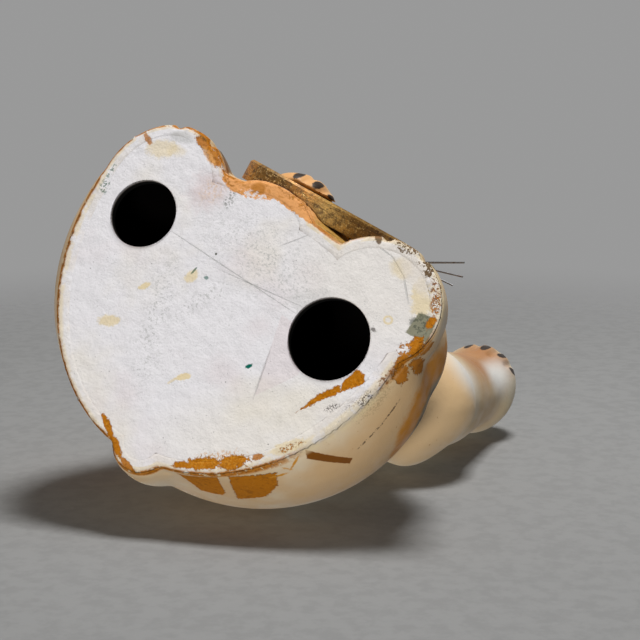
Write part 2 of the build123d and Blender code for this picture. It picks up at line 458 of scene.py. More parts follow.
    def fray(self, size: float, detail: float = 4.0) -> Socket:
        """Noise that frays outlines, made once for each size.

        Args:
            size: Width of its lumps, in millimetres.
            detail: How many finer layers it has.

        Returns:
            A value about zero.
        """
        key = (size, detail)
        if key not in self._frays:
            self._frays[key] = self.sum("SUBTRACT", self.grain(size, detail, 0.72, 0.5), 0.5)
        return self._frays[key]

    def reach(self, mark: Mark) -> Socket:
        """How far the surface is from a mark's centre, in the mark's half sizes.

        Args:
            mark: The mark.

        Returns:
            A value up to 2, which is 1 on the mark's outline.
        """
        spot = self.node("ShaderNodeMapping", vector_type="TEXTURE")
        self.feed(spot.inputs["Vector"], self.place)
        spot.inputs["Location"].default_value = Vector(mark.centre) * MM
        spot.inputs["Rotation"].default_value = [math.radians(angle) for angle in mark.turn]
        spot.inputs["Scale"].default_value = Vector(mark.half) * 2 * MM
        ball = self.node("ShaderNodeTexGradient", gradient_type="SPHERICAL")
        self.feed(ball.inputs["Vector"], spot.outputs[0])
        distance = self.sum("MULTIPLY_ADD", ball.outputs[1], -2.0, 2.0)
        if mark.ragged:
            distance = self.sum("MULTIPLY_ADD", self.fray(mark.fray), 2.0 * mark.ragged, distance)
        return distance

    def patch(self, mark: Mark) -> Socket:
        """Mask of one mark.

        Args:
            mark: The mark.

        Returns:
            1 inside the mark and 0 outside, broken up into specks if it has them.
        """
        mask = self.fade(self.reach(mark), 1.0 + mark.soft, 1.0 - mark.soft)
        if mark.speckle:
            mask = self.both(mask, self.fade(self.fray(mark.speckle, 3.0), -0.01, 0.05))
        return mask

    def half_space(self, edge: Point, inward: Vector) -> Socket:
        """Ramp across a plane, which is 0.5 on the plane and 1 half a ramp further inward.

        Args:
            edge: A place on the plane, in millimetres.
            inward: Direction at right angles to the plane, of length 1.

        Returns:
            The ramp, from 0 to 1.
        """
        spot = self.node("ShaderNodeMapping", vector_type="TEXTURE")
        self.feed(spot.inputs["Vector"], self.place)
        spot.inputs["Location"].default_value = (Vector(edge) - inward * (RAMP / 2)) * MM
        spot.inputs["Rotation"].default_value = Vector((1.0, 0.0, 0.0)).rotation_difference(inward).to_euler()
        spot.inputs["Scale"].default_value = (RAMP * MM, 1.0, 1.0)
        ramp = self.node("ShaderNodeTexGradient", gradient_type="LINEAR")
        self.feed(ramp.inputs["Vector"], spot.outputs[0])
        return ramp.outputs[1]

    def flake(self, flake: Flake) -> Socket:
        """Mask of one flake, kept near its own side of the figure.

        Args:
            flake: The flake.

        Returns:
            1 inside its sides and 0 outside.
        """
        corners = [Vector(corner) for corner in flake.corners]
        middle = sum(corners, Vector()) / len(corners)
        sides = list(zip(corners, corners[1:] + corners[:1]))
        facing = sum(((start - middle).cross(end - middle) for start, end in sides), Vector()).normalized()
        inside: Socket | None = None
        for start, end in sides:
            ramp = self.half_space(start, facing.cross(end - start).normalized())
            inside = ramp if inside is None else self.sum("MINIMUM", inside, ramp)
        inside = self.sum("MULTIPLY_ADD", self.fray(2.0), 2.0 * flake.ragged / RAMP, inside)
        span = 1.3 * max((corner - middle).length for corner in corners)
        near = self.patch(Mark(flake.paint, tuple(middle), (span, span, span)))
        return self.both(self.fade(inside, 0.5 - 0.3 / RAMP, 0.5 + 0.3 / RAMP), near)

    def lay(self, mask: Socket, over: Paint, strength: float = 1.0) -> None:
        """Lays a colour over what is there.

        Args:
            mask: Where the colour goes.
            over: The colour.
            strength: How much of what is below it covers.
        """
        if strength != 1.0:
            mask = self.sum("MULTIPLY", mask, strength)
        mix = self.node("ShaderNodeMix", data_type="RGBA")
        for index, value in ((0, mask), (6, self.colour), (7, over.linear)):
            self.feed(mix.inputs[index], value)
        self.colour = mix.outputs[2]

    def mark(self, mark: Mark | Flake, where: Socket | None = None) -> Socket:
        """Lays one mark or flake.

        Args:
            mark: What is laid.
            where: A wider mask that it is kept to, if there is one.

        Returns:
            The mask that it was laid with.
        """
        mask = self.flake(mark) if isinstance(mark, Flake) else self.patch(mark)
        if where is not None:
            mask = self.both(mask, where)
        self.lay(mask, mark.paint, mark.strength)
        return mask

    def swell(self, mask: Socket, amount: float) -> None:
        """Adds relief to the bump.

        Args:
            mask: Where the surface is raised.
            amount: How far, in millimetres where the mask is 1.
        """
        if self.height is None:
            self.height = self.sum("MULTIPLY", mask, amount)
        else:
            self.height = self.sum("MULTIPLY_ADD", mask, amount, self.height)

    def sheen(self, mask: Socket, low: float, high: float) -> None:
        """Sets the roughness from low where the mask is 0 to high where it is 1."""
        self.roughness = self.sum("MULTIPLY_ADD", mask, high - low, low)

    def dull(self, mask: Socket) -> None:
        """Takes the gloss away where the mask is 1."""
        self.matt = mask if self.matt is None else self.either(self.matt, mask)

    def done(self, metallic: float = 0.0, specular: float = 0.4, relief: float = 1.0) -> bpy.types.Material:
        """Joins the layers in a shader.

        Args:
            metallic: How much the surface is metal.
            specular: Strength of the gloss.
            relief: Strength of the bump.

        Returns:
            The finished material.
        """
        shader = self.node("ShaderNodeBsdfPrincipled")
        self.feed(shader.inputs["Base Color"], self.colour)
        roughness = self.roughness
        if self.matt is not None:
            roughness = self.sum("MAXIMUM", roughness, self.sum("MULTIPLY", self.matt, 0.95))
        self.feed(shader.inputs["Roughness"], roughness)
        shader.inputs["Metallic"].default_value = metallic
        shader.inputs["Specular IOR Level"].default_value = specular
        if self.height is not None:
            bump = self.node("ShaderNodeBump")
            bump.inputs["Strength"].default_value = relief
            bump.inputs["Distance"].default_value = MM
            self.feed(bump.inputs["Height"], self.height)
            self.feed(shader.inputs["Normal"], bump.outputs[0])
        output = self.node("ShaderNodeOutputMaterial")
        self.feed(output.inputs["Surface"], shader.outputs[0])
        return self.material


PLATE_MARKS: tuple[Mark | Flake, ...] = (
    flat_flake(Paint.PLASTER_ROSE, ((31.0, 7.0), (41.2, 47.3), (54.6, 27.8), (44.0, 8.0)), 1.0, 0.4),
    flat_flake(Paint.PLASTER_GREY, ((27.7, -1.1), (42.5, -15.0), (50.0, -13.0), (40.0, 3.0)), 1.6, 0.22),
    flat_mark(Paint.GLUE, -45.3, 53.4, 6.2, 2.8, -29, 0.9, 0.8, 0.25),
    flat_mark(Paint.GLUE, -38.7, 29.3, 3.4, 1.5, -50, 0.9, 0.9, 0.25),
    flat_mark(Paint.GLUE, -20.2, 13.6, 2.8, 3.6, 20, 0.9, 0.8, 0.25),
    flat_mark(Paint.GLUE, 4.8, 57.4, 4.2, 1.6, -38, 0.8, 0.95, 0.2),
    flat_mark(Paint.GLUE, 0.6, 62.3, 2.2, 0.7, -60, 0.8, 0.6, 0.2),
    flat_mark(Paint.TEAL, 30.8, 36.4, 2.1, 1.0, -52, 0.9, 1.0, 0.2, 1.5),
    flat_mark(Paint.TEAL, -13.0, 10.4, 1.2, 0.9, 0, 1.0, 0.7, 0.3, 1.5),
    flat_mark(Paint.GREEN, -20.6, 10.4, 0.5, 2.0, 10, 0.8, 0.8, 0.3, 1.5),
    flat_flake(Paint.OCHRE, ((75.1, 20.7), (77.9, 11.0), (82.7, 11.7), (85.3, 14.9), (76.9, 24.4)), 1.6),
    flat_flake(Paint.OCHRE, ((75.6, 20.4), (77.0, 24.4), (64.2, 42.2), (68.2, 30.5)), 2.2),
    flat_mark(Paint.SPECK, -15.3, -2.2, 0.6, 0.6, 0, 0.3),
    flat_mark(Paint.CLAW, 77.6, 32.8, 3.4, 1.6, -50, 1.2, 0.85, 0.3, 1.5, 0.9),
    flat_mark(Paint.CLAW, 74.6, -8.9, 1.4, 0.8, 0, 1.2, 0.7, 0.3, 1.5),
)

RIM_MARKS: tuple[Mark | Flake, ...] = (
    flat_mark(Paint.PLASTER_ROSE, -37.0, -28.5, 9.0, 11.0, 25, 0.8, 0.7, 0.6, 5.0),
    flat_mark(Paint.TAN, -35.0, -29.0, 5.0, 7.0, 25, 1.2, 0.4, 0.6, 3.0, 1.6),
    flat_mark(Paint.GLUE, -71.0, -34.8, 8.4, 4.6, -25, 0.9, 0.6, 0.3, 4.0),
    flat_mark(Paint.GLUE, -64.0, -37.0, 5.0, 3.0, -25, 0.9, 0.4, 0.4, 4.0),
    flat_mark(Paint.OCHRE, -81.4, -35.2, 3.8, 1.3, 24, 1.0, 0.8, 0.2),
    flat_mark(Paint.GREEN, -89.4, -12.0, 8.0, 1.5, 92, 1.4, 0.7, 0.4, 2.0, 2.0),
    flat_mark(Paint.GREEN, -87.6, -3.4, 3.4, 2.6, 60, 1.0, 0.8, 0.4, 2.0, 1.2),
    flat_mark(Paint.CLAW, 89.0, 21.6, 4.0, 2.0, -70, 1.2, 0.9, 0.3, 1.5, 0.9),
    flat_mark(Paint.CLAW_WORN, 86.0, 24.0, 9.0, 1.8, -66, 1.0, 0.35, 0.4, 2.0, 0.9),
    flat_mark(Paint.MOSS_DARK, -24.8, -29.0, 2.6, 5.0, -20, 1.2, 0.6, 0.4, 2.0, 1.2),
    flat_mark(Paint.GLUE, 70.6, -41.0, 5.6, 4.6, 20, 0.6, 0.6, 0.4, 4.0),
    flat_mark(Paint.GLUE, 87.0, -33.6, 9.0, 5.6, 62, 0.8, 0.75, 0.2, 3.0),
    flat_mark(Paint.RIM, 78.0, -42.0, 12.0, 5.0, 28, 0.5, 0.7, 0.4, 4.0),
    flat_mark(Paint.PLASTER, 88.0, -40.0, 8.0, 3.0, 50, 1.2, 0.7, 0.3, 2.0, 2.0),
    flat_flake(Paint.MOSS, ((89.3, -26.7), (98.8, -28.2), (100.6, -16.1), (89.0, -15.2)), 0.9, 0.95),
    flat_mark(Paint.MOSS_DARK, 93.0, -22.0, 5.0, 5.0, 0, 0.8, 0.7, 0.4, 3.0, 2.2),
    flat_mark(Paint.OCHRE, 97.0, -25.4, 1.8, 3.4, 0, 1.0, 1.0, 0.2),
    flat_mark(Paint.OCHRE_DARK, 92.0, -38.0, 8.4, 2.6, 56, 1.0, 0.9, 0.3, 2.0, 1.5),
    flat_mark(Paint.OCHRE, 94.0, -34.0, 7.0, 2.0, 62, 1.0, 0.9, 0.3, 2.0, 1.2),
    flat_mark(Paint.OCHRE, 97.4, -11.2, 6.0, 3.4, 78, 1.2, 1.0, 0.1, 2.0),
    flat_mark(Paint.OCHRE, 93.6, -7.4, 4.6, 3.2, 70, 1.2, 0.95, 0.1, 2.0, 2.4),
    flat_mark(Paint.OCHRE, 95.2, -1.0, 5.6, 2.6, 84, 1.2, 0.95, 0.1, 2.0),
    flat_mark(Paint.OCHRE_DARK, 93.0, 7.6, 5.2, 2.8, 100, 1.4, 0.85, 0.2, 2.0, 1.6),
    flat_mark(Paint.CLAW_WORN, 52.0, -48.4, 3.8, 1.7, 38, 0.8, 0.9, 0.15),
    flat_mark(Paint.CLAW_WORN, 66.8, -50.4, 7.0, 3.0, 6, 0.8, 0.95, 0.12, 2.0, 3.2),
    flat_mark(Paint.CLAW_WORN, 81.4, -46.8, 6.6, 3.2, 22, 0.8, 0.95, 0.12, 2.0, 3.2),
    flat_mark(Paint.OCHRE, -53.6, -47.2, 6.0, 2.2, 14, 0.8, 0.95, 0.15),
    flat_mark(Paint.OCHRE, -44.6, -43.6, 6.4, 2.4, 28, 0.8, 0.95, 0.12),
    flat_mark(Paint.PEACH, -47.0, -42.8, 6.0, 1.6, 26, 0.8, 0.8, 0.3),
    flat_mark(Paint.CLAW_WORN, -55.6, -50.4, 5.6, 1.5, 12, 0.8, 0.9, 0.2),
    flat_mark(Paint.PLASTER_GREY, -66.0, -44.6, 6.0, 3.0, -8, 0.7, 0.45, 0.3, 4.0),
    flat_flake(
        Paint.APRICOT,
        ((-34.0, -36.0), (-26.0, -32.8), (-11.0, -35.8), (-5.0, -40.0), (-7.0, -49.0), (-37.0, -47.0)),
        2.4,
    ),
    flat_flake(
        Paint.APRICOT,
        ((-9.0, -40.6), (4.0, -39.2), (19.0, -38.0), (24.0, -44.0), (10.0, -50.0), (-9.0, -50.0)),
        2.0,
    ),
    flat_mark(Paint.OCHRE, -31.0, -38.4, 5.0, 3.0, 20, 0.9, 0.6, 0.25, 2.0, 2.4),
    flat_mark(Paint.AMBER, -20.0, -40.0, 10.0, 3.0, 4, 1.2, 0.5, 0.4, 3.0, 2.0),
    flat_mark(Paint.AMBER, -14.6, -40.6, 3.8, 3.2, -20, 0.2, 0.8, 0.25),
    flat_mark(Paint.PLASTER, -12.0, -37.0, 9.0, 2.4, -8, 1.2, 0.8, 0.2, 2.0, 1.8),
    flat_mark(Paint.OCHRE, 8.0, -44.6, 12.0, 2.0, 6, 1.2, 0.6, 0.3, 2.0, 2.2),
    flat_mark(Paint.OCHRE, 29.0, 93.2, 5.0, 1.7, -26, 1.0, 1.0, 0.12),
    flat_mark(Paint.OCHRE, 37.4, 87.2, 9.0, 3.0, -32, 1.0, 1.0, 0.1),
    flat_mark(Paint.OCHRE, 49.4, 79.6, 8.4, 3.2, -38, 1.0, 1.0, 0.1),
    flat_mark(Paint.OCHRE_PALE, 43.0, 82.6, 14.0, 4.4, -36, 1.0, 0.6, 0.3, 2.0, 1.4),
    flat_mark(Paint.OCHRE, 58.7, 71.0, 3.0, 1.7, -45, 0.9, 0.9, 0.12),
    flat_mark(Paint.GLUE, 69.0, 59.6, 9.0, 2.8, -50, 0.9, 0.7, 0.25, 2.5),
    flat_mark(Paint.OCHRE, 70.0, 59.0, 6.4, 1.3, -52, 1.2, 0.85, 0.2, 2.0, 1.4),
    flat_mark(Paint.OCHRE, -15.6, 97.0, 7.6, 1.7, 34, 0.9, 1.0, 0.12),
    flat_mark(Paint.OCHRE, -6.0, 103.0, 6.0, 2.0, 34, 0.9, 1.0, 0.12),
    flat_mark(Paint.OCHRE, 4.4, 107.6, 6.0, 1.5, 14, 0.9, 0.95, 0.12),
    flat_mark(Paint.OCHRE, 19.0, 103.0, 5.0, 1.3, -30, 1.0, 0.9, 0.15),
)

WALL_MARKS: tuple[Mark | Flake, ...] = (
    Flake(
        Paint.OCHRE,
        ((27.0, 98.4, 4.6), (45.6, 89.4, 3.5), (46.8, 94.0, 22.0), (44.4, 96.1, 26.0), (34.4, 100.0, 25.4)),
        1.4,
    ),
    Flake(
        Paint.OCHRE,
        ((50.4, 86.2, 3.6), (69.0, 72.9, 6.6), (69.6, 78.0, 16.0), (64.0, 85.0, 26.0), (51.0, 93.8, 29.6)),
        2.0,
    ),
    Flake(
        Paint.OCHRE_DARK,
        ((76.6, 56.1, 1.6), (78.3, 59.3, 5.5), (93.1, 50.6, 20.7), (93.5, 47.6, 18.3)),
        0.5,
    ),
    stroke(Paint.OCHRE_PALE, (66.4, 70.0, 3.0), (73.4, 67.6, 7.6), 0.7, 0.4, 0.9),
    stroke(Paint.OCHRE_PALE, (73.4, 67.6, 7.6), (75.0, 61.0, 3.0), 0.7, 0.4, 0.9),
    stroke(Paint.OCHRE_PALE, (67.0, 76.6, 9.0), (72.6, 70.6, 9.0), 0.8, 0.4, 1.0),
    Mark(Paint.OCHRE, (99.4, -6.0, 12.0), (6.0, 4.0, 8.0), (0, 0, 0), 0.9, 2.0, 0.08, 0.95),
    Mark(Paint.OCHRE, (97.4, 2.6, 4.6), (5.0, 4.4, 4.2), (0, 0, 0), 1.0, 2.0, 0.1, 0.95),
    Mark(Paint.OCHRE, (100.2, -14.0, 4.0), (5.0, 4.4, 4.0), (0, 0, 0), 1.0, 2.0, 0.1, 0.9),
    Mark(Paint.CLAW_WORN, (92.0, 20.0, 3.0), (10.0, 12.0, 3.0), (0, 0, -10), 1.0, 2.0, 0.5, 0.35, 0.9),
    Mark(Paint.APRICOT, (-6.0, -46.0, 3.0), (34.0, 6.0, 8.0), (0, 0, 0), 0.5, 4.0, 0.3, 0.95),
    Mark(Paint.CLAW_WORN, (-41.0, -46.0, 7.0), (7.0, 5.0, 8.0), (0, 0, 30), 0.5, 3.0, 0.2, 0.9),
    Mark(Paint.OCHRE_DARK, (-37.6, -42.6, 3.0), (5.0, 4.0, 4.0), (0, 0, 30), 0.6, 3.0, 0.2, 0.9),
)

CRACK: tuple[Point, ...] = ((100.3, 11.6, 11.7), (98.9, 24.4, 13.0), (96.7, 34.9, 14.0), (94.4, 42.7, 15.2))


def ground_print(box: PaintBox, inset: float) -> Socket:
    """Mask of the figure's print on the ground.

    Args:
        box: Material that the mask is for.
        inset: How far it is drawn in from the edge, in millimetres.

    Returns:
        The mask, which is the same at all heights.
    """
    turn = 2.2

    def disc(x: float, y: float, half_x: float, half_y: float, angle: float = 0.0) -> Socket:
        """Mask of one oval of the print."""
        half = (half_x - inset, half_y - inset, 1000.0)
        return box.patch(Mark(Paint.PLASTER, (x, y, 0.0), half, (0.0, 0.0, angle), soft=0.01))

    backward = Vector((-math.sin(math.radians(turn)), math.cos(math.radians(turn)), 0.0))
    behind = box.fade(box.half_space((0.0, -8.0, 0.0), backward), 0.45, 0.55)
    return box.either(
        box.both(disc(0.3, -8.0, 92.5, 111.0, turn), behind),
        disc(0.3, -8.0, 92.5, 32.0, turn),
        disc(-60.0, -14.5, 33.2, 36.9),
        disc(67.0, -20.8, 34.0, 31.5),
        disc(-3.0, -30.0, 25.0, 16.8),
        disc(4.0, 92.0, 16.0, 17.4),
    )


@dataclass(frozen=True)
class BarePlaster:
    """White casting plaster, scraped flat, with pits, smears and stains."""

    name: str = "bare_plaster"

    def ground(self, box: PaintBox, where: Socket | None = None) -> None:
        """Lays clouds, smears and pits.

        Args:
            box: Material that they go on.
            where: Part of the surface that is bare plaster, if it isn't all of it.
        """
        def inside(mask: Socket) -> Socket:
            """The mask, kept to the bare plaster."""
            return mask if where is None else box.both(mask, where)

        if where is not None:
            box.lay(where, Paint.PLASTER)
        box.lay(inside(box.fade(box.grain(46.0, 3.0, 0.5, 1.3), 0.5, 0.72)), Paint.PLASTER_WARM, 0.5)
        box.lay(inside(box.fade(box.grain(38.0, 2.0, 0.5, 4.1), 0.52, 0.75)), Paint.PLASTER_ROSE, 0.35)
        warm_edges = box.either(
            box.patch(Mark(Paint.GLUE, (66.0, -30.0, 0.0), (42.0, 30.0, 9.0), soft=0.6)),
            box.patch(Mark(Paint.GLUE, (50.0, 60.0, 0.0), (44.0, 18.0, 9.0), (0, 0, -42), soft=0.7)),
        )
        box.lay(inside(warm_edges), Paint.PLASTER_WARM, 0.4)
        pits = box.both(
            box.fade(box.grain(1.1, 2.0, 0.6, 3.3), 0.69, 0.73),
            box.fade(box.grain(16.0, 2.0, 0.5, 6.0), 0.42, 0.6),
        )
        box.lay(inside(pits), Paint.SPECK, 0.75)
        box.swell(inside(pits), -0.25)
        box.swell(inside(box.grain(1.1, 3.0, 0.6, 5.2)), 0.3)
        box.swell(inside(box.grain(9.0, 2.0, 0.5, 7.7)), 1.0)
        scraped = box.streaks((16.0, 3.4, 16.0), (0.0, 0.0, 68.0))
        box.swell(inside(scraped), 0.4)
        box.lay(inside(box.fade(scraped, 0.6, 0.76)), Paint.PLASTER_GREY, 0.14)
        dirt = box.both(
            box.fade(box.grain(0.9, 3.0, 0.7, 8.3), 0.6, 0.68),
            box.fade(box.grain(28.0, 2.0, 0.5, 9.1), 0.46, 0.62),
        )
        box.lay(inside(dirt), Paint.PLASTER_GREY, 0.6)

    def scraping(self, box: PaintBox) -> None:
        """Lays the grey smears and the scratches of the plate.

        Args:
            box: Material that they go on.
        """
        smears = (
            Mark(Paint.PLASTER_GREY, (-24.0, 42.0, 0.0), (32.0, 7.0, 9.0), (0, 0, 70), 0.5, 9.0, 0.7),
            Mark(Paint.PLASTER_GREY, (-8.0, 20.0, 0.0), (26.0, 4.0, 9.0), (0, 0, -62), 0.5, 9.0, 0.7),
            Mark(Paint.PLASTER_GREY, (10.0, -12.0, 0.0), (34.0, 14.0, 9.0), (0, 0, 10), 0.5, 9.0, 0.9),
        )
        rubbed = box.either(*(box.patch(smear) for smear in smears))
        broken = box.fade(box.grain(1.5, 3.0, 0.7, 2.2), 0.53, 0.62)
        box.lay(box.both(rubbed, broken), Paint.PLASTER_GREY, 0.55)
        scratches = (
            stroke(Paint.PLASTER_GREY, (-42.0, -0.6, 0.0), (33.0, 3.2, 0.0), 0.28, 0.6, 1.2),
            stroke(Paint.PLASTER_GREY, (-6.0, 3.4, 0.0), (37.0, -1.0, 0.0), 0.22, 0.6, 1.4),
            stroke(Paint.PLASTER_GREY, (36.0, 26.0, 0.0), (41.0, 47.0, 0.0), 0.3, 0.6, 0.8),
            stroke(Paint.PLASTER_GREY, (12.0, -22.0, 0.0), (22.0, -34.0, 0.0), 0.24, 0.6, 1.2),
            stroke(Paint.PLASTER_GREY, (52.5, -45.0, 0.0), (63.7, -43.3, 0.0), 0.4, 0.6, 0.3),
            stroke(Paint.PLASTER_GREY, (63.7, -43.3, 0.0), (73.8, -37.6, 0.0), 0.4, 0.6, 0.3),
            stroke(Paint.PLASTER_GREY, (73.8, -37.6, 0.0), (82.1, -28.3, 0.0), 0.4, 0.6, 0.3),
        )
        for scratch in scratches:
            mask = box.patch(scratch)
            box.lay(mask, scratch.paint, 0.5)
            box.swell(mask, -0.3)

    def stains(self, box: PaintBox, where: Socket | None = None) -> None:
        """Lays the stains and the spots where the ochre ground shows.

        Args:
            box: Material that they go on.
            where: Part of the surface that they are kept to.
        """
        bare: Socket | None = None
        mottle = box.fade(box.grain(2.6, 4.0, 0.7, 19.0), 0.5, 0.66)
        for spot in RIM_MARKS if where is not None else PLATE_MARKS + RIM_MARKS:
            mask = box.mark(spot, where)
            if spot.paint is Paint.APRICOT:
                box.lay(box.both(mask, mottle), Paint.AMBER, 0.6)
            if spot.paint is Paint.OCHRE:
                bare = mask if bare is None else box.either(bare, mask)
        box.lay(box.both(bare, box.fade(box.grain(1.6, 3.0, 0.7, 15.0), 0.5, 0.62)), Paint.OCHRE_DARK, 0.45)
        box.lay(box.both(bare, box.fade(box.grain(1.2, 3.0, 0.7, 16.0), 0.56, 0.66)), Paint.OCHRE_PALE, 0.7)
        box.swell(bare, -0.25)
        box.dull(bare)
        ring = box.reach(Mark(Paint.GLUE, (78.3, -16.3, 0.0), (2.4, 2.2, 4.0), ragged=0.3))
        mask = box.between(ring, 0.6, 1.0, 0.2)
        box.lay(mask if where is None else box.both(mask, where), Paint.GLUE, 0.9)

    def make(self) -> bpy.types.Material:
        """Builds the finish of the base plate, with painted shade up the walls of its openings.

        Returns:
            The material.
        """
        box = PaintBox(self.name, Paint.PLASTER)
        self.ground(box)
        self.scraping(box)
        self.stains(box)
        # Painted shade: the walls of the openings darken with height and turn black inside, where the hollow
        # is unlit
        box.lay(box.fade(box.z, 0.5 * MM, 1.4 * MM), Paint.CLAW_WORN, 0.7)
        box.lay(box.fade(box.z, 0.9 * MM, 2.6 * MM), Paint.DARK)
        box.sheen(box.grain(8.0, 2.0, 0.5, 9.0), 0.7, 0.95)
        return box.done(specular=0.15)


@dataclass(frozen=True)
class FigurePaint:
    """Cream paint over plaster, with soft airbrushed tones, a tan band low on the body that is partly painted
    shade, and small chips.
    """

    name: str = "figure_paint"

    def coat(self, box: PaintBox) -> None:
        """Lays the cream coat with its soft airbrushed tones and a tan band low on the body that is partly
        painted shade.

        Args:
            box: Material that it goes on.
        """
        clouds = box.grain(52.0, 3.0, 0.5, 2.4)
        box.lay(box.fade(clouds, 0.44, 0.66), Paint.CHALK, 0.6)
        # Tan band low on the body: airbrushed tone, and partly painted shade on the lower body
        low = box.both(box.between(box.z, 2 * MM, 84 * MM, 12 * MM), box.fade(clouds, 0.8, 0.5))
        box.lay(low, Paint.TAN, 0.85)
        box.lay(box.fade(box.grain(6.0, 4.0, 0.7, 5.5), 0.5, 0.7), Paint.TAN, 0.25)
        box.swell(box.grain(1.6, 3.0, 0.6, 1.9), 0.1)
        box.swell(box.grain(14.0, 2.0, 0.5, 8.2), 0.6)
        box.sheen(box.fade(box.grain(11.0, 3.0, 0.6, 3.9), 0.35, 0.7), 0.34, 0.58)

    def wear(self, box: PaintBox) -> None:
        """Lays small chips that show the ochre ground, and dark specks.

        Args:
            box: Material that they go on.
        """
        chips = box.both(
            box.fade(box.grain(3.2, 3.0, 0.65, 11.0), 0.7, 0.73),
            box.fade(box.grain(34.0, 1.0, 0.5, 12.0), 0.5, 0.6),
        )
        box.lay(chips, Paint.OCHRE, 0.9)
        box.swell(chips, -0.25)
        specks = box.fade(box.grain(1.4, 2.0, 0.6, 14.0), 0.72, 0.76)
        box.lay(specks, Paint.AIRBRUSH, 0.5)


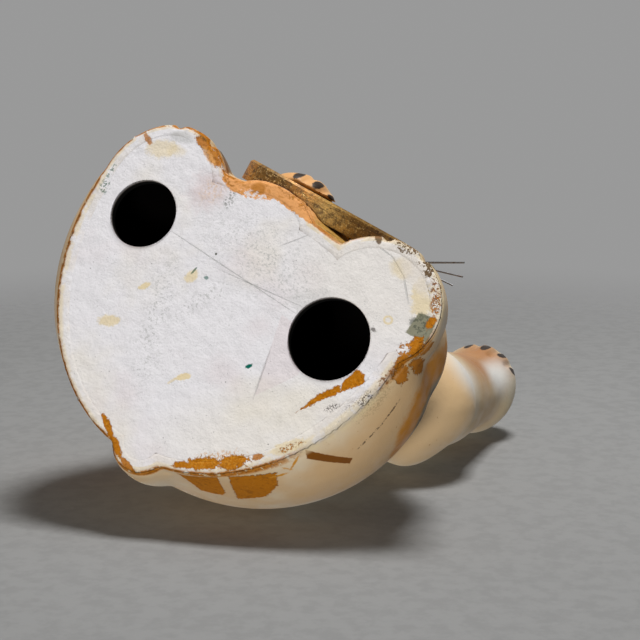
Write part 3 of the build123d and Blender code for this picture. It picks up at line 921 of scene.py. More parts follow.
@dataclass(frozen=True)
class CoatOfCasting(FigurePaint):
    """Finish of the casting: coat, calico patches, face, collar, toes, and the bare rim on the ground."""

    name: str = "casting_paint"

    def calico(self, box: PaintBox) -> None:
        """Lays the orange and black patches of the coat.

        Args:
            box: Material that they go on.
        """
        patches = (
            Mark(Paint.CALICO, (100.0, 6.0, 66.0), (40.0, 34.0, 45.0), (0, 0, 0), 0.12, 9.0, 0.07),
            Mark(Paint.OLIVE, (101.0, 8.0, 80.0), (34.0, 26.0, 38.0), (0, 0, 0), 0.12, 9.0, 0.12),
            Mark(Paint.BLACK, (101.0, 8.0, 84.0), (32.0, 24.0, 36.0), (0, 0, 0), 0.12, 9.0, 0.06),
            Mark(Paint.CALICO, (-66.0, 70.0, 82.0), (48.0, 42.0, 38.0), (0, 24, 0), 0.2, 16.0, 0.05),
            Mark(Paint.BLACK, (-92.0, 44.0, 106.0), (38.0, 34.0, 28.0), (0, 20, 0), 0.2, 16.0, 0.05),
            Mark(Paint.CALICO, (34.0, 92.0, 104.0), (30.0, 40.0, 24.0), (0, 0, 20), 0.14, 9.0, 0.06),
            Mark(Paint.BLACK, (-46.0, 2.0, 238.0), (32.0, 42.0, 42.0), (0, 0, 0), 0.1, 9.0, 0.05),
            Mark(Paint.CALICO, (46.0, 8.0, 236.0), (32.0, 42.0, 42.0), (0, 0, 0), 0.1, 9.0, 0.05),
        )
        for spot in patches:
            box.mark(spot)

    def ears(self, box: PaintBox) -> None:
        """Lays the red of the inner ears.

        Args:
            box: Material that it goes on.
        """
        for side in (-1, 1):
            middle = (side * 43.5, -22.0, 231.0)
            hollow = Mark(Paint.RED, middle, (11.5, 9.0, 17.0), (0, side * 13, 0), soft=0.14)
            box.mark(hollow, box.fade(box.facing_y, -0.15, -0.35))

    def face(self, box: PaintBox) -> None:
        """Lays cheeks, eyes, brows, mouth, whisker dots and nose.

        Args:
            box: Material that they go on.
        """
        front = box.fade(box.y, -36 * MM, -42 * MM)
        for side in (-1, 1):
            x = side * 25.0
            blush = Mark(Paint.PEACH, (side * 40.0, -50.0, 160.0), (14.0, 30.0, 11.0), soft=0.7, strength=0.6)
            box.mark(blush, front)
            eye = (
                Mark(Paint.BLACK, (x, -60.0, 183.0), (13.2, 30.0, 11.8), (0, side * 14, 0), soft=0.04),
                Mark(Paint.EYE, (x, -60.0, 183.0), (11.4, 30.0, 10.0), (0, side * 14, 0), soft=0.05),
                Mark(Paint.BLACK, (x - side * 1.5, -60.0, 183.0), (6.0, 30.0, 8.0), soft=0.05),
                Mark(Paint.WHITE, (x - side * 1.5 + 2.4, -60.0, 186.6), (1.8, 30.0, 1.9), soft=0.1),
            )
            for layer in eye:
                box.mark(layer, front)
            brow = stroke(Paint.BLACK, (x - side * 6, -58.0, 200.0), (x + side * 5, -54.0, 203.5), 1.2)
            box.mark(brow, front)
            lips = ((0.0, -73.0, 152.6), (side * 7.0, -72.0, 149.2), (side * 14.5, -69.0, 152.0))
            for start, end in zip(lips, lips[1:]):
                box.mark(stroke(Paint.BLACK, start, end, 0.9))
            for row in (-1, 0, 1):
                dot = Mark(Paint.BLACK, (side * 18.5, -69.0, 154.0 + 4.5 * row), (1.1, 6.0, 1.1), soft=0.2)
                box.mark(dot, front)
        box.mark(stroke(Paint.BLACK, (0.0, -75.0, 160.0), (0.0, -73.0, 153.0), 0.8))
        box.mark(Mark(Paint.RED, (0.0, -74.0, 164.0), (6.4, 8.0, 4.0), soft=0.12), front)

    def collar(self, box: PaintBox) -> None:
        """Lays the red of the collar with a gilt line along both edges.

        Args:
            box: Material that it goes on.
        """
        ring = Mark(Paint.RED, (0.0, 2.0, 128.0), (62.6, 56.0, 200.0))
        band = box.both(box.fade(box.reach(ring), 1.05, 1.03), box.fade(box.reach(ring), 0.5, 0.7))
        box.lay(box.both(band, box.between(box.z, 122.6 * MM, 133.4 * MM, 0.4 * MM)), Paint.RED)
        for level in (124.0, 132.0):
            line = box.between(box.z, (level - 0.7) * MM, (level + 0.7) * MM, 0.2 * MM)
            box.lay(box.both(band, line), Paint.GOLD)

    def toes(self, box: PaintBox) -> None:
        """Lays the brown claws of the feet, and the tinted paw that holds the coin.

        Args:
            box: Material that they go on.
        """
        claws = (
            ((52.0, -50.0, 3.0), (52.0, -50.0, 12.0)),
            ((67.0, -53.5, 3.0), (67.0, -53.5, 13.0)),
            ((82.0, -49.5, 3.0), (82.0, -49.5, 12.0)),
            ((-74.0, -47.5, 3.0), (-74.0, -48.0, 12.0)),
            ((-59.0, -52.0, 3.0), (-59.0, -52.5, 13.0)),
            ((-45.0, -47.5, 3.0), (-45.0, -48.0, 12.0)),
        )
        paw_claws = (
            ((-34.7, -67.4, 77.4), (-35.6, -72.0, 84.0)),
            ((-22.7, -68.0, 78.4), (-22.5, -72.4, 85.0)),
            ((-14.1, -67.8, 84.2), (-13.4, -70.2, 90.0)),
        )
        box.mark(Mark(Paint.PEACH, (-27.0, -64.0, 80.0), (27.0, 16.0, 18.0), soft=0.5, strength=0.9))
        for start, end in claws + paw_claws:
            box.mark(stroke(Paint.CLAW, start, end, 2.7, 0.15, 0.3))

    def overspray(self, box: PaintBox) -> None:
        """Lays the gold that went past the coin, onto the belly behind it.

        Args:
            box: Material that it goes on.
        """
        cloud = Mark(Paint.GOLD, (24.0, -42.0, 18.0), (22.0, 8.0, 26.0), (0, 0, 0), 0.3, 4.0, 0.25, 0.95)
        past = box.patch(cloud)
        box.lay(past, cloud.paint, cloud.strength)
        box.lay(box.both(past, box.fade(box.grain(5.0, 4.0, 0.7, 17.0), 0.46, 0.64)), Paint.GOLD_DARK, 0.75)
        box.lay(box.both(past, box.fade(box.grain(1.6, 3.0, 0.7, 18.0), 0.52, 0.64)), Paint.GOLD_PALE, 0.75)

    def rim(self, box: PaintBox) -> None:
        """Lays the bare underside of the rim, the chipped edge and the patches on the wall above it.

        Args:
            box: Material that they go on.
        """
        bare: Socket | None = None
        for spot in WALL_MARKS:
            mask = box.mark(spot)
            if spot.paint is Paint.OCHRE:
                bare = mask if bare is None else box.either(bare, mask)
        box.lay(box.both(bare, box.fade(box.grain(3.0, 4.0, 0.7, 22.0), 0.48, 0.66)), Paint.OCHRE_DARK, 0.5)
        box.lay(box.both(bare, box.fade(box.grain(1.4, 3.0, 0.7, 23.0), 0.58, 0.66)), Paint.OCHRE_PALE, 0.45)
        box.swell(bare, -0.4)
        box.dull(bare)
        for start, end in zip(CRACK, CRACK[1:]):
            line = box.patch(stroke(Paint.CLAW, start, end, 0.5, 0.4, 1.2))
            box.lay(box.both(line, box.fade(box.grain(1.6, 2.0, 0.6, 21.0), 0.46, 0.54)), Paint.CLAW, 0.8)
        below = box.both(box.fade(box.facing_z, -0.6, -0.8), box.fade(box.z, 2.4 * MM, 1.2 * MM))
        core = ground_print(box, 2.4)
        below = box.either(below, box.both(core, box.fade(box.z, 6.0 * MM, 5.0 * MM)))
        plaster = BarePlaster()
        plaster.ground(box, below)
        box.lay(box.both(below, box.fade(box.grain(9.0, 4.0, 0.6, 33.0), 0.36, 0.6)), Paint.RIM, 0.55)
        edge = box.both(box.fade(box.z, 4.4 * MM, 2.4 * MM), box.outside(core))
        box.lay(box.both(edge, box.fade(box.grain(7.0, 4.0, 0.7, 32.0), 0.36, 0.52)), Paint.GLUE, 0.55)
        plaster.stains(box, box.fade(box.z, 4.2 * MM, 2.4 * MM))
        sound = box.either(
            box.patch(Mark(Paint.CREAM, (-4.0, -46.0, 0.0), (30.0, 9.0, 20.0), soft=0.3)),
            box.patch(Mark(Paint.CREAM, (92.0, 40.0, 0.0), (26.0, 34.0, 20.0), soft=0.4)),
            box.patch(Mark(Paint.CREAM, (80.0, -38.0, 0.0), (40.0, 22.0, 20.0), soft=0.5)),
        )
        line = box.both(edge, box.between(box.facing_z, -0.93, -0.15, 0.08), box.outside(sound))
        worn = box.both(line, box.fade(box.grain(5.0, 4.0, 0.7, 31.0), 0.38, 0.46))
        box.lay(worn, Paint.OCHRE, 0.95)
        box.lay(box.both(worn, box.fade(box.grain(1.4, 3.0, 0.7, 34.0), 0.52, 0.6)), Paint.OCHRE_DARK, 0.6)
        box.swell(worn, -0.2)
        box.dull(box.either(worn, below))

    def make(self) -> bpy.types.Material:
        """Builds the finish of the casting.

        Returns:
            The material.
        """
        box = PaintBox(self.name, Paint.CREAM)
        self.coat(box)
        self.calico(box)
        self.ears(box)
        self.face(box)
        self.collar(box)
        self.overspray(box)
        self.toes(box)
        self.wear(box)
        self.rim(box)
        return box.done(specular=0.26)


@dataclass(frozen=True)
class CoatOfArm(FigurePaint):
    """Finish of the raised arm: a paler elbow and white patches that are painted light, tan painted shade
    below, an airbrushed paw and painted claws.
    """

    name: str = "arm_paint"

    def make(self) -> bpy.types.Material:
        """Builds the finish of the raised arm.

        Returns:
            The material.
        """
        box = PaintBox(self.name, Paint.CREAM)
        self.coat(box)
        # Tones on the elbow and paw: the sand on the elbow is paler to stand in for the light on it (painted
        # light), the two white ones are painted highlights on the elbow's upper edge and in the middle of the
        # paw, the tan one is painted shade on the outer back side of the paw, and the brown ones are
        # airbrushed paint
        tones = (
            Mark(Paint.SAND_PAINTED_LIGHT, (90.0, 4.0, 118.0), (30.0, 44.0, 30.0), soft=0.5, strength=0.9),
            Mark(Paint.WHITE, (92.0, -27.0, 136.0), (16.0, 11.0, 18.0), soft=0.7, strength=0.85),
            Mark(Paint.AIRBRUSH, (73.0, -42.0, 190.0), (22.0, 15.0, 32.0), soft=0.5, strength=0.85),
            Mark(Paint.AIRBRUSH, (86.0, -33.0, 168.0), (15.0, 13.0, 17.0), soft=0.7, strength=0.5),
            Mark(Paint.AIRBRUSH, (78.0, -54.0, 210.0), (26.0, 10.0, 12.0), soft=0.5, strength=0.6),
            Mark(Paint.TAN, (98.0, -6.0, 190.0), (18.0, 22.0, 34.0), soft=0.6, strength=0.7),
            Mark(Paint.WHITE, (89.5, -41.0, 200.0), (9.0, 11.0, 13.0), soft=0.8, strength=0.95),
        )
        for tone in tones:
            box.mark(tone)
        claws = (
            ((61.0, -47.0, 210.0), (60.0, -50.4, 216.0)),
            ((70.6, -51.0, 208.4), (70.6, -55.0, 215.0)),
            ((80.8, -52.8, 211.8), (81.2, -55.2, 219.0)),
            ((90.4, -49.2, 216.0), (91.8, -49.2, 223.0)),
        )
        for start, end in claws:
            box.mark(stroke(Paint.CLAW, start, end, 2.6, 0.15, 0.2))
        self.wear(box)
        return box.done(specular=0.5)


@dataclass(frozen=True)
class DullGold:
    """Gold paint gone brown, with the fine hammered lines of an oval coin."""

    name: str = "coin_gold"

    def make(self) -> bpy.types.Material:
        """Builds the finish of the coin.

        Returns:
            The material.
        """
        box = PaintBox(self.name, Paint.GOLD)
        rim = box.fade(box.facing_y, -0.8, -0.5)
        box.lay(box.fade(box.grain(14.0, 4.0, 0.6, 1.0), 0.46, 0.7), Paint.GOLD_DARK, 0.5)
        tones = (
            Mark(Paint.AMBER, (-36.0, -52.0, 24.0), (14.0, 14.0, 22.0), soft=0.6, strength=0.75),
            Mark(Paint.GOLD_DARK, (-14.0, -52.0, 3.0), (24.0, 12.0, 9.0), soft=0.6, strength=0.7),
            Mark(Paint.AMBER, (6.0, -54.0, 3.0), (10.0, 6.0, 6.0), soft=0.8, strength=0.6),
            Mark(Paint.GOLD_PALE, (22.0, -49.0, 11.0), (9.0, 6.0, 9.0), soft=0.9, strength=0.55),
            Mark(Paint.GOLD_DARK, (34.0, -55.0, 24.0), (12.0, 9.0, 16.0), soft=0.7, strength=0.75),
        )
        for tone in tones:
            box.mark(tone, rim)
        box.lay(box.both(rim, box.fade(box.grain(3.4, 4.0, 0.7, 2.0), 0.48, 0.62)), Paint.GOLD_DARK, 0.75)
        worn = box.both(rim, box.fade(box.grain(1.3, 3.0, 0.7, 6.0), 0.55, 0.62))
        box.lay(worn, Paint.GOLD_PALE, 0.7)
        scored = box.streaks((9.0, 0.9, 9.0), (8.5, 0.0, 0.0))
        box.lay(box.both(rim, box.fade(scored, 0.54, 0.66)), Paint.GOLD_DARK, 0.5)
        box.swell(box.both(rim, scored), 0.4)
        box.swell(worn, 0.2)
        box.lay(box.fade(box.grain(1.8, 3.0, 0.7, 2.0), 0.58, 0.7), Paint.GOLD_DARK, 0.5)
        lines = box.node("ShaderNodeTexWave", wave_type="BANDS", bands_direction="Z", wave_profile="SIN")
        box.feed(lines.inputs["Vector"], box.place)
        lines.inputs["Scale"].default_value = 70.0
        lines.inputs["Distortion"].default_value = 2.4
        lines.inputs["Detail"].default_value = 2.0
        lines.inputs["Detail Scale"].default_value = 1.6
        face = box.fade(box.facing_y, -0.6, -0.85)
        ridges = box.both(box.fade(lines.outputs[1], 0.35, 0.65), face)
        box.swell(ridges, 0.7)
        box.lay(box.both(box.fade(lines.outputs[1], 0.55, 0.3), face), Paint.GOLD_DARK, 0.55)
        box.swell(box.grain(2.2, 3.0, 0.6, 4.0), 0.3)
        box.sheen(box.grain(6.0, 3.0, 0.6, 5.0), 0.3, 0.66)
        return box.done(metallic=0.4, specular=0.5)


@dataclass(frozen=True)
class DullBrass:
    """Small brass bell, dark in its hollows."""

    name: str = "bell_brass"

    def make(self) -> bpy.types.Material:
        """Builds the finish of the bell.

        Returns:
            The material.
        """
        box = PaintBox(self.name, Paint.BRASS)
        box.lay(box.fade(box.grain(4.0, 4.0, 0.65, 1.0), 0.5, 0.66), Paint.BRASS_DARK, 0.7)
        box.swell(box.grain(1.5, 2.0, 0.6, 3.0), 0.12)
        box.sheen(box.grain(3.0, 3.0, 0.6, 5.0), 0.2, 0.5)
        return box.done(metallic=0.9, specular=0.5)


@dataclass(frozen=True)
class DarkWire:
    """Blackened whisker wire with a little rust."""

    name: str = "whisker_wire"

    def make(self) -> bpy.types.Material:
        """Builds the finish of the whiskers.

        Returns:
            The material.
        """
        box = PaintBox(self.name, Paint.WIRE)
        box.lay(box.fade(box.grain(3.0, 3.0, 0.6, 1.0), 0.56, 0.7), Paint.RUST, 0.6)
        box.swell(box.grain(0.6, 2.0, 0.6, 2.0), 0.05)
        box.sheen(box.grain(2.0, 2.0, 0.5, 3.0), 0.35, 0.6)
        return box.done(metallic=0.6, specular=0.5)


@dataclass(frozen=True)
class PlainWood:
    """Turned dowel with its grain along the length."""

    name: str = "dowel_wood"

    def make(self) -> bpy.types.Material:
        """Builds the finish of the dowel.

        Returns:
            The material.
        """
        box = PaintBox(self.name, Paint.WOOD)
        rings = box.node("ShaderNodeTexWave", wave_type="RINGS", rings_direction="X")
        box.feed(rings.inputs["Vector"], box.place)
        rings.inputs["Scale"].default_value = 220.0
        rings.inputs["Distortion"].default_value = 3.0
        box.lay(rings.outputs[1], Paint.WOOD_DARK, 0.6)
        box.sheen(box.grain(3.0, 2.0, 0.5, 3.0), 0.6, 0.8)
        return box.done(specular=0.3)


@dataclass(frozen=True)
class PaintedShadeHollow:
    """Inner wall of the casting, painted black as shade where it is unlit."""

    name: str = "hollow_painted_shade"

    def make(self) -> bpy.types.Material:
        """Builds the painted shade of the inside.

        Returns:
            The material.
        """
        box = PaintBox(self.name, Paint.DARK)
        box.swell(box.grain(4.0, 2.0, 0.5, 2.0), 0.4)
        box.sheen(box.grain(9.0, 2.0, 0.5, 3.0), 0.9, 1.0)
        return box.done(specular=0.0)


class Skin(Enum):
    """Side of a hollow piece's wall that a face is on, counted as its materials are."""

    OUTER = 0
    INNER = 1


@dataclass
class PlasterForm:
    """A plaster piece: CAD nodes taken over as one skin, smoothed and pressed with detail.

    Attributes:
        name: Name of the piece.
        nodes: CAD nodes that it stands for.
        voxel: Cell of the new skin, in millimetres.
        rounds: How often the skin is smoothed.
        crisp_below: Height up to which edges stay crisp, in millimetres.
        crisp_blend: Height over which they soften again.
        sole: Height up to which the skin is set flat on the ground.
    """

    name: str
    nodes: tuple[str, ...]
    voxel: float = 1.6
    rounds: int = 22
    crisp_below: float = -1000.0
    crisp_blend: float = 3.0
    sole: float = 0.9

    def gathered(self) -> bmesh.types.BMesh:
        """Copies the CAD nodes into one mesh, and drops the walls where halves meet.

        Returns:
            The joined mesh, with doubled vertices merged.
        """
        joined = bmesh.new()
        for node in self.nodes:
            joined.from_mesh(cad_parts[node].data)
        bmesh.ops.remove_doubles(joined, verts=joined.verts, dist=WELD)
        if len(self.nodes) > 1:
            seam = [
                face
                for face in joined.faces
                if all(abs(vert.co.y - SEAM_Y * MM) < SEAM_SLACK for vert in face.verts)
            ]
            bmesh.ops.delete(joined, geom=seam, context="FACES")
            bmesh.ops.remove_doubles(joined, verts=joined.verts, dist=SEAM_WELD)
        return joined

    def skinned(self) -> bpy.types.Object:
        """Lays a new even skin over the copied nodes.

        Returns:
            The object, with the remeshed skin as its own mesh.
        """
        raw = self.gathered()
        mesh = bpy.data.meshes.new(self.name)
        raw.to_mesh(mesh)
        raw.free()
        piece = bpy.data.objects.new(self.name, mesh)
        bpy.context.scene.collection.objects.link(piece)
        skin = piece.modifiers.new("skin", "REMESH")
        skin.mode = "VOXEL"
        skin.voxel_size = self.voxel * MM
        graph = bpy.context.evaluated_depsgraph_get()
        even = bpy.data.meshes.new_from_object(piece.evaluated_get(graph))
        piece.modifiers.clear()
        piece.data = even
        return piece

    def soften(self, piece: bpy.types.Object) -> None:
        """Smooths the skin round by round, apart from what is firm.

        Args:
            piece: Object whose mesh is changed.
        """
        work = bmesh.new()
        work.from_mesh(piece.data)
        for step in range(self.rounds):
            chosen = [vert for vert in work.verts if not self.is_firm(vert.co, step)]
            bmesh.ops.smooth_vert(
                work, verts=chosen, factor=0.5, use_axis_x=True, use_axis_y=True, use_axis_z=True
            )
        for face in work.faces:
            face.smooth = True
        work.to_mesh(piece.data)
        work.free()

    def is_firm(self, place: Vector, step: int) -> bool:
        """Whether a place is left alone from a given round of smoothing on."""
        return False

    def dents(self) -> Sequence[Dent]:
        """Grooves and swellings that are pressed into the skin."""
        return ()

    def press(self, piece: bpy.types.Object) -> None:
        """Presses the grooves and swellings into the skin, along its normals.

        Args:
            piece: Object whose mesh is changed.
        """
        mesh = piece.data
        count = len(mesh.vertices)
        places = np.empty(count * 3, np.float32)
        mesh.vertices.foreach_get("co", places)
        places = places.reshape(-1, 3) / MM
        normals = np.array([vert.normal for vert in mesh.vertices], np.float32)
        move = np.zeros(count, np.float32)
        for dent in self.dents():
            start, line = np.array(dent.start), np.array(dent.end) - np.array(dent.start)
            along = np.clip(((places - start) @ line) / max(float(line @ line), 1e-9), 0.0, 1.0)
            gap = np.linalg.norm(places - start - along[:, None] * line, axis=1) / dent.radius
            move -= dent.depth * np.where(gap < 1.0, (1.0 - gap**2) ** 2, 0.0)
        places += normals * move[:, None]
        mesh.vertices.foreach_set("co", (places * MM).ravel())
        mesh.update()

    def settle(self, piece: bpy.types.Object) -> None:
        """Draws the skin below the crisp height back onto the CAD surface, with its edges sharp.

        Args:
            piece: Object whose mesh is changed.
        """
        exact = self.gathered()
        surface = BVHTree.FromBMesh(exact)
        exact.free()
        for vert in piece.data.vertices:
            share = min(1.0, (self.crisp_below - vert.co.z / MM) / self.crisp_blend)
            if share <= 0.0:
                continue
            place = surface.find_nearest(vert.co)[0]
            vert.co = vert.co.lerp(place, share)
            if vert.co.z < self.sole * MM:
                vert.co.z = 0.0
        piece.data.update()

    def build(self, slot: str) -> bpy.types.Object:
        """Makes the piece and sets it in place of its CAD nodes.

        Args:
            slot: Name of a material slot; not used.

        Returns:
            The finished shape.
        """
        piece = self.skinned()
        self.soften(piece)
        self.settle(piece)
        self.press(piece)
        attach(piece, BODY)
        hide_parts(*self.nodes)
        return piece

    def dress(self, piece: bpy.types.Object, finish: bpy.types.Material) -> None:
        """Gives the piece its material.

        Args:
            piece: The piece.
            finish: The material.
        """
        piece.data.materials.clear()
        piece.data.materials.append(finish)


@dataclass
class Casting(PlasterForm):
    """Hollow body of the cat, with its two halves closed to one skin.

    Attributes:
        collar: Lowest and highest level of the collar, in millimetres.
        collar_half: Half sizes of its ring, which is round the neck's axis.
        neck_y: Where that axis stands, along the figure.
        rim: Height of the rim that the plate is let into.
        loose_rounds: Rounds of smoothing that also reach the collar and the rim.
    """

    collar: tuple[float, float] = (120.0, 136.0)
    collar_half: tuple[float, float] = (66.25, 59.36)
    neck_y: float = 2.0
    rim: float = 6.0
    loose_rounds: int = 3

    def is_firm(self, place: Vector, step: int) -> bool:
        """Keeps the collar and the mouth of the base pocket crisp.

        Args:
            place: Place on the skin, in metres.
            step: Round of smoothing, counted from 0.

        Returns:
            Whether the place is left alone in that round.
        """
        if step < self.loose_rounds:
            return False
        low, high = self.collar
        half_x, half_y = self.collar_half
        x, y, level = place / MM
        if low < level < high and math.hypot(x / half_x, (y - self.neck_y) / half_y) < 1.0:
            return True
        return level < self.rim

    def dents(self) -> Sequence[Dent]:
        """Toes of the feet and of the paw, eyes, muzzle, mouth, nose and chin.

        Returns:
            The grooves and swellings.
        """
        made: list[Dent] = []
        feet = (((67.0, -20.8), (34.6, 32.1)), ((-60.0, -14.5), (33.8, 37.6)))
        for (x, y), (half_x, half_y) in feet:
            for angle in (-108.0, -72.0):
                swing = math.radians(angle)
                rows: list[Point] = []
                for level in (1.0, 12.0, 22.0):
                    share = math.sqrt(1.0 - ((level - 8.0) / 40.0) ** 2)
                    out_x, out_y = half_x * math.cos(swing) * share, half_y * math.sin(swing) * share
                    rows.append((x + out_x, y + out_y, level))
                made += [Dent(start, end, 3.6, 2.0) for start, end in zip(rows, rows[1:])]
        paw_grooves = (
            ((-28.7, -66.0, 74.0), (-29.0, -73.6, 92.0)),
            ((-18.2, -66.0, 77.0), (-18.0, -72.2, 92.0)),
        )
        made += [Dent(start, end, 3.4, 1.8) for start, end in paw_grooves]
        for side in (-1, 1):
            made.append(Dent((side * 25.0, -61.0, 183.0), (side * 25.0, -61.0, 183.0), 14.0, -1.8))
            made.append(Dent((side * 12.0, -71.0, 156.0), (side * 13.0, -70.0, 155.0), 12.0, -2.4))
            lips = ((0.0, -74.0, 152.6), (side * 7.0, -73.0, 149.2), (side * 14.5, -70.0, 152.0))
            made += [Dent(start, end, 3.0, 1.4) for start, end in zip(lips, lips[1:])]
        made.append(Dent((0.0, -76.0, 160.0), (0.0, -75.0, 152.0), 3.0, 1.6))
        made.append(Dent((0.0, -73.0, 164.5), (0.0, -73.0, 164.5), 7.0, -2.6))
        made.append(Dent((0.0, -70.0, 146.0), (0.0, -70.0, 146.0), 9.0, -2.0))
        return made

    def part_skins(self, piece: bpy.types.Object) -> None:
        """Marks the faces of the inner wall, which gets black painted shade.

        Args:
            piece: Object whose mesh is changed.
        """
        mesh = piece.data
        count = len(mesh.polygons)
        centres, normals = np.empty(count * 3, np.float32), np.empty(count * 3, np.float32)
        mesh.polygons.foreach_get("center", centres)
        mesh.polygons.foreach_get("normal", normals)
        centres, normals = centres.reshape(-1, 3) / MM, normals.reshape(-1, 3)
        x, y, z = centres.T
        # The hollow is a domed belly, a neck passage and a ball in the head
        inward = normals[:, 0] * x + normals[:, 1] * (y - 10.0) < 0.0
        belly = (z > 5.5) & (z < 104.0) & (y > -36.0) & (np.hypot(x / 97.0, (y - 12.0) / 90.0) < 1.0) & inward
        ceiling = (z > 60.0) & (z < 104.0) & (np.hypot(x, y - 8.0) < 60.0) & (normals[:, 2] < -0.2)
        neck = (z > 95.0) & (z < 180.0) & (np.hypot(x, y - 2.0) < 25.0)
        head = np.sqrt(x**2 + (y + 8.0) ** 2 + (z - 175.0) ** 2) < 43.0
        inner = (belly | ceiling | neck | head).astype(np.int32)
        mesh.polygons.foreach_set("material_index", inner * Skin.INNER.value)
        mesh.update()

    def dress(self, piece: bpy.types.Object, finish: bpy.types.Material) -> None:
        """Gives the outer skin its paint and the inner wall its black painted shade.

        Args:
            piece: The casting.
            finish: The paint.
        """
        super().dress(piece, finish)
        # Painted shade: the inner wall is painted black because no light reaches it
        piece.data.materials.append(PaintedShadeHollow().make())
        self.part_skins(piece)


@dataclass
class RaisedArm(PlasterForm):
    """Raised left arm, whose paw has toes parted by grooves."""

    def dents(self) -> Sequence[Dent]:
        """The flat on the elbow that the cat lies on, and the grooves between the toes of the paw.

        Returns:
            The flat and the grooves.
        """
        return (
            Dent((104.0, 18.0, 136.0), (104.0, 18.0, 148.0), 30.0, 5.0),
            Dent((66.0, -48.0, 204.0), (65.0, -54.0, 222.0), 3.4, 1.6),
            Dent((77.0, -50.0, 206.0), (77.0, -57.0, 222.0), 3.4, 1.6),
            Dent((87.5, -50.0, 211.0), (88.0, -54.0, 226.0), 3.4, 1.6),
        )


@dataclass
class BasePlate:
    """Plaster plate in the base, bedded tight in its pocket, with the edges of its openings rubbed round.

    Attributes:
        edge: Rounding of the openings, in millimetres.
        growth: How far the bedding plaster fills the gap all round.
        skim: How far it is smeared over the edge of the pocket.
        skim_band: Height of the band round the plate that is smeared.
        skim_rise: How far the smeared plaster stands out.
        skim_reach: How far along the edge its direction is evened out.
        openings: Centre and radius of each opening.
        opening_slack: How near to the wall of an opening counts as on it.
    """

    edge: float = 0.7
    growth: float = 0.25
    skim: float = 1.3
    skim_band: float = 0.4
    skim_rise: float = 0.03
    skim_reach: float = 4.0
    openings: tuple[Point, ...] = ((-61.0, -1.4, 17.6), (58.0, 5.6, 20.4))
    opening_slack: float = 0.5

    def at_opening(self, place: Vector) -> bool:
        """Whether a place lies on the wall of an opening."""
        gaps = (math.hypot(place.x / MM - x, place.y / MM - y) - radius for x, y, radius in self.openings)
        return any(abs(gap) < self.opening_slack for gap in gaps)

    def bed(self, work: bmesh.types.BMesh) -> None:
        """Fills the gap round the plate and smears the plaster thinly over the edge of the pocket.

        Args:
            work: Mesh of the plate, which is changed.
        """
        whole = [*work.verts, *work.edges, *work.faces]
        bmesh.ops.bisect_plane(work, geom=whole, plane_co=(0, 0, self.skim_band * MM), plane_no=(0, 0, 1))
        outline: list[tuple[bmesh.types.BMVert, Vector]] = []
        for vert in work.verts:
            walls = [face.normal for face in vert.link_faces if abs(face.normal.z) < 0.1]
            if walls and not self.at_opening(vert.co):
                outline.append((vert, sum(walls, Vector()).normalized()))
        lip = [(vert, vert.co.copy(), facing) for vert, facing in outline if vert.co.z < 0.1 * MM]
        for vert, facing in outline:
            vert.co += facing * self.growth * MM
        for vert, place, _ in lip:
            near = (facing for _, other, facing in lip if (other - place).length < self.skim_reach * MM)
            vert.co += sum(near, Vector()).normalized() * (self.skim - self.growth) * MM
            vert.co.z = -self.skim_rise * MM

    def build(self) -> bpy.types.Object:
        """Makes the plate from a merged copy of its CAD node.

        Returns:
            The finished plate, in place of its node.
        """
        work = bmesh.new()
        work.from_mesh(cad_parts["base_plate"].data)
        bmesh.ops.remove_doubles(work, verts=work.verts, dist=WELD)
        bmesh.ops.dissolve_limit(work, angle_limit=math.radians(1.0), verts=work.verts, edges=work.edges)
        self.bed(work)
        mouths = [
            edge
            for edge in work.edges
            if all(vert.co.z < 1 * MM and self.at_opening(vert.co) for vert in edge.verts)
        ]
        bmesh.ops.bevel(
            work, geom=mouths, offset=self.edge * MM, affect="EDGES", segments=3, profile=0.5, material=-1
        )
        bmesh.ops.triangulate(work, faces=[face for face in work.faces if len(face.verts) > 4])
        mesh = bpy.data.meshes.new("plate")
        work.to_mesh(mesh)
        work.free()
        piece = bpy.data.objects.new("plate", mesh)
        bpy.context.scene.collection.objects.link(piece)
        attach(piece, BODY)
        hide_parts("base_plate")
        return piece

    def dress(self, piece: bpy.types.Object) -> None:
        """Gives the plate its bare plaster."""
        piece.data.materials.clear()
        piece.data.materials.append(BarePlaster().make())


@dataclass
class SetInPieces:
    """Coin, bell, whiskers and dowel, whose CAD shapes are right and only get their finish."""

    def dress(self) -> None:
        """Gives each node its material, and reports it."""
        finishes = {"coin": DullGold().make(), "bell": DullBrass().make(), "arm_dowel": PlainWood().make()}
        wire = DarkWire().make()
        for name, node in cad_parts.items():
            finish = wire if name.startswith("whisker") else finishes.get(name)
            if finish is None:
                continue
            node.data.materials.clear()
            node.data.materials.append(finish)
            LOG.info("%s: %s", name, finish.name)


@dataclass(frozen=True)
class Lamp:
    """A soft square lamp that points at the cat.

    Attributes:
        name: Name of the lamp.
        place: Where it hangs, in studio axes and metres.
        power: Its power in watts.
        size: Side of the square, in metres.
        mirrored: Whether glossy paint shows it.
    """

    name: str
    place: Point
    power: float
    size: float
    mirrored: bool = True


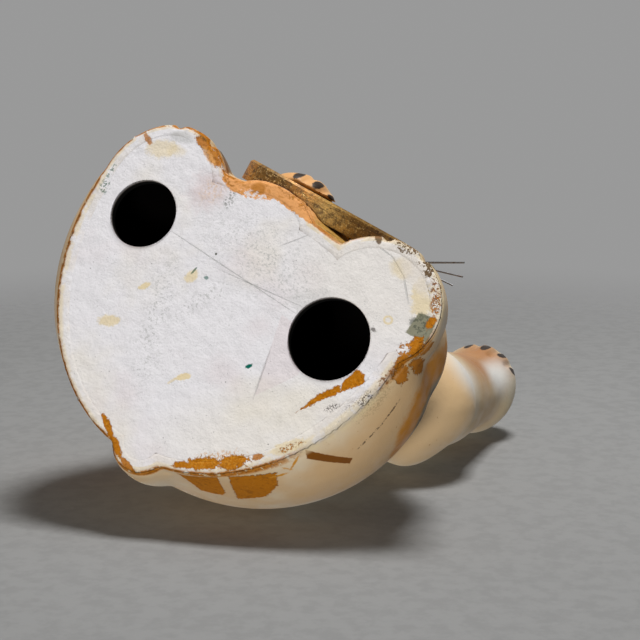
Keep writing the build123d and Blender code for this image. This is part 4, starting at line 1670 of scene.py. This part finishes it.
@dataclass
class Studio:
    """Floor that the cat lies on, soft lamps and the camera at the photograph's angle.

    Studio axes are right, away from the camera, and up.

    Attributes:
        up: Direction away from the floor, in the frame.
        right: Direction to the camera's right, level with the floor.
        middle: Place on the floor below the middle of the cat, in studio axes.
        heart: What the lamps point at.
        floor_radius: Size of the round floor.
        paper_radius: How far from the cat half of the paper has faded out.
        surroundings: Light that comes from all sides.
        backdrop: Level at which the surroundings are seen, also in gloss.
        lamps: The lamps.
        lens: Focal length in millimetres.
        sensor: Width of the camera's sensor in millimetres.
        eye: Where the camera stands, in the frame.
        look: Direction that it looks in.
    """

    up: Vector = Vector((-0.40592, -0.82109, -0.40155))
    right: Vector = Vector((0.8105, -0.5263, 0.2570))
    middle: Point = (0.02, 0.09, -0.1248)
    heart: Point = (0.02, 0.09, -0.05)
    floor_radius: float = 0.95
    paper_radius: float = 0.6
    surroundings: float = 0.14
    backdrop: float = 0.32
    lamps: tuple[Lamp, ...] = (
        Lamp("overhead", (0.25, 0.20, 1.25), 17.0, 0.35),
        Lamp("front", (-0.30, -1.30, -0.04), 10.5, 0.3),
        Lamp("rear", (-0.30, 1.05, -0.75), 5.0, 0.4, mirrored=False),
    )
    lens: float = 90.0
    sensor: float = 36.0
    eye: Vector = Vector((0.3115, 0.0541, -0.7163))
    look: Vector = Vector((-0.3430, -0.0708, 0.9367))

    def axes(self) -> Matrix:
        """Turn from studio axes to the frame's axes.

        Returns:
            A matrix whose columns are the studio's axes.
        """
        up = self.up.normalized()
        right = (self.right - up * self.right.dot(up)).normalized()
        away = up.cross(right)
        return Matrix((right, away, up)).transposed()

    def paper(self) -> bpy.types.Material:
        """Pale paper that fades out away from the cat, and is seen from its upper side only.

        Returns:
            The material of the floor.
        """
        box = PaintBox("paper", Paint.PAPER)
        box.lay(box.fade(box.grain(9.0, 4.0, 0.6, 1.0), 0.4, 0.65), Paint.PAPER_SHADE)
        box.swell(box.grain(2.0, 3.0, 0.6, 2.0), 0.05)
        box.sheen(box.grain(30.0, 2.0, 0.5, 2.0), 0.8, 0.95)
        middle = tuple(self.axes() @ Vector(self.middle) / MM)
        sheet = Mark(Paint.PAPER, middle, (self.paper_radius / MM,) * 3)
        far = box.fade(box.reach(sheet), 0.6, 1.4)
        material = box.done(specular=0.1)
        side = box.node("ShaderNodeNewGeometry")
        hidden = box.either(far, side.outputs["Backfacing"])
        clear = box.node("ShaderNodeBsdfTransparent")
        mix = box.node("ShaderNodeMixShader")
        output = next(node for node in box.tree.nodes if node.type == "OUTPUT_MATERIAL")
        shaded = output.inputs["Surface"].links[0].from_socket
        for socket, value in zip(mix.inputs, (hidden, shaded, clear.outputs[0])):
            box.feed(socket, value)
        box.feed(output.inputs["Surface"], mix.outputs[0])
        return material

    def build_floor(self) -> bpy.types.Object:
        """Makes the round floor that the cat lies on.

        Returns:
            The floor.
        """
        turn = self.axes()
        work = bmesh.new()
        bmesh.ops.create_circle(work, cap_ends=True, radius=self.floor_radius, segments=64)
        place = Matrix.Translation(turn @ Vector(self.middle)) @ turn.to_4x4()
        bmesh.ops.transform(work, matrix=place, verts=work.verts)
        work.normal_update()
        if work.faces[:][0].normal.dot(self.up) < 0.0:
            bmesh.ops.reverse_faces(work, faces=work.faces[:])
        mesh = bpy.data.meshes.new("floor")
        work.to_mesh(mesh)
        work.free()
        floor = bpy.data.objects.new("floor", mesh)
        bpy.context.scene.collection.objects.link(floor)
        mesh.materials.append(self.paper())
        floor.visible_diffuse = False
        floor.visible_glossy = False
        floor.visible_shadow = False
        return floor

    def hang(self, lamp: Lamp) -> bpy.types.Object:
        """Hangs one lamp.

        Args:
            lamp: What it is and where it hangs.

        Returns:
            The lamp's object.
        """
        turn = self.axes()
        data = bpy.data.lights.new(lamp.name, "AREA")
        data.energy = lamp.power
        data.shape = "SQUARE"
        data.size = lamp.size
        hung = bpy.data.objects.new(lamp.name, data)
        bpy.context.scene.collection.objects.link(hung)
        start, end = turn @ Vector(lamp.place), turn @ Vector(self.heart)
        hung.location = start
        hung.rotation_euler = (end - start).to_track_quat("-Z", "Y").to_euler()
        hung.visible_camera = False
        hung.visible_glossy = lamp.mirrored
        return hung

    def light(self) -> None:
        """Lights the scene: even grey surroundings and soft lamps."""
        world = bpy.data.worlds.new("studio")
        bpy.context.scene.world = world
        world.use_nodes = True
        tree = world.node_tree
        tree.nodes.clear()
        rays = tree.nodes.new("ShaderNodeLightPath")
        seen = rays.outputs["Is Camera Ray"]
        for kind in ("Is Glossy Ray", "Is Transmission Ray"):
            joined = tree.nodes.new("ShaderNodeMath")
            joined.operation = "MAXIMUM"
            tree.links.new(seen, joined.inputs[0])
            tree.links.new(rays.outputs[kind], joined.inputs[1])
            seen = joined.outputs[0]
        level = tree.nodes.new("ShaderNodeMix")
        level.data_type = "FLOAT"
        tree.links.new(seen, level.inputs[0])
        level.inputs[2].default_value = self.surroundings
        level.inputs[3].default_value = self.backdrop
        glow = tree.nodes.new("ShaderNodeBackground")
        glow.inputs["Color"].default_value = (1.0, 1.0, 1.0, 1.0)
        tree.links.new(level.outputs[0], glow.inputs["Strength"])
        output = tree.nodes.new("ShaderNodeOutputWorld")
        tree.links.new(glow.outputs[0], output.inputs["Surface"])
        for lamp in self.lamps:
            self.hang(lamp)

    def aim_camera(self) -> bpy.types.Object:
        """Sets the camera where the photograph was taken from.

        Returns:
            The camera, which is also the scene's own.
        """
        data = bpy.data.cameras.new("camera")
        data.lens = self.lens
        data.sensor_width = self.sensor
        data.sensor_fit = "HORIZONTAL"
        data.clip_start = 0.01
        camera = bpy.data.objects.new("camera", data)
        bpy.context.scene.collection.objects.link(camera)
        back = -self.look.normalized()
        right = (self.right - back * self.right.dot(back)).normalized()
        turn = Matrix((right, back.cross(right), back)).transposed().to_4x4()
        turn.translation = self.eye
        camera.matrix_world = turn
        bpy.context.scene.camera = camera
        return camera


def main() -> None:
    """Builds the figure and its studio in order."""
    logging.basicConfig(level=logging.INFO)
    bpy.context.scene.view_settings.view_transform = "Standard"
    studio = Studio()
    studio.build_floor()
    studio.light()
    studio.aim_camera()
    casting = Casting("casting", ("body_front", "body_back"), voxel=1.85, rounds=17, crisp_below=9.0)
    body = casting.build("figure_paint")
    casting.dress(body, CoatOfCasting().make())
    LOG.info("casting: %d faces", len(body.data.polygons))
    arm_form = RaisedArm("beckoning_arm", ("raised_arm",))
    arm = arm_form.build("figure_paint")
    arm_form.dress(arm, CoatOfArm().make())
    LOG.info("raised arm: %d faces", len(arm.data.polygons))
    plate_form = BasePlate()
    plate = plate_form.build()
    plate_form.dress(plate)
    LOG.info("base plate: %d faces", len(plate.data.polygons))
    SetInPieces().dress()


if __name__ == "__main__":
    main()
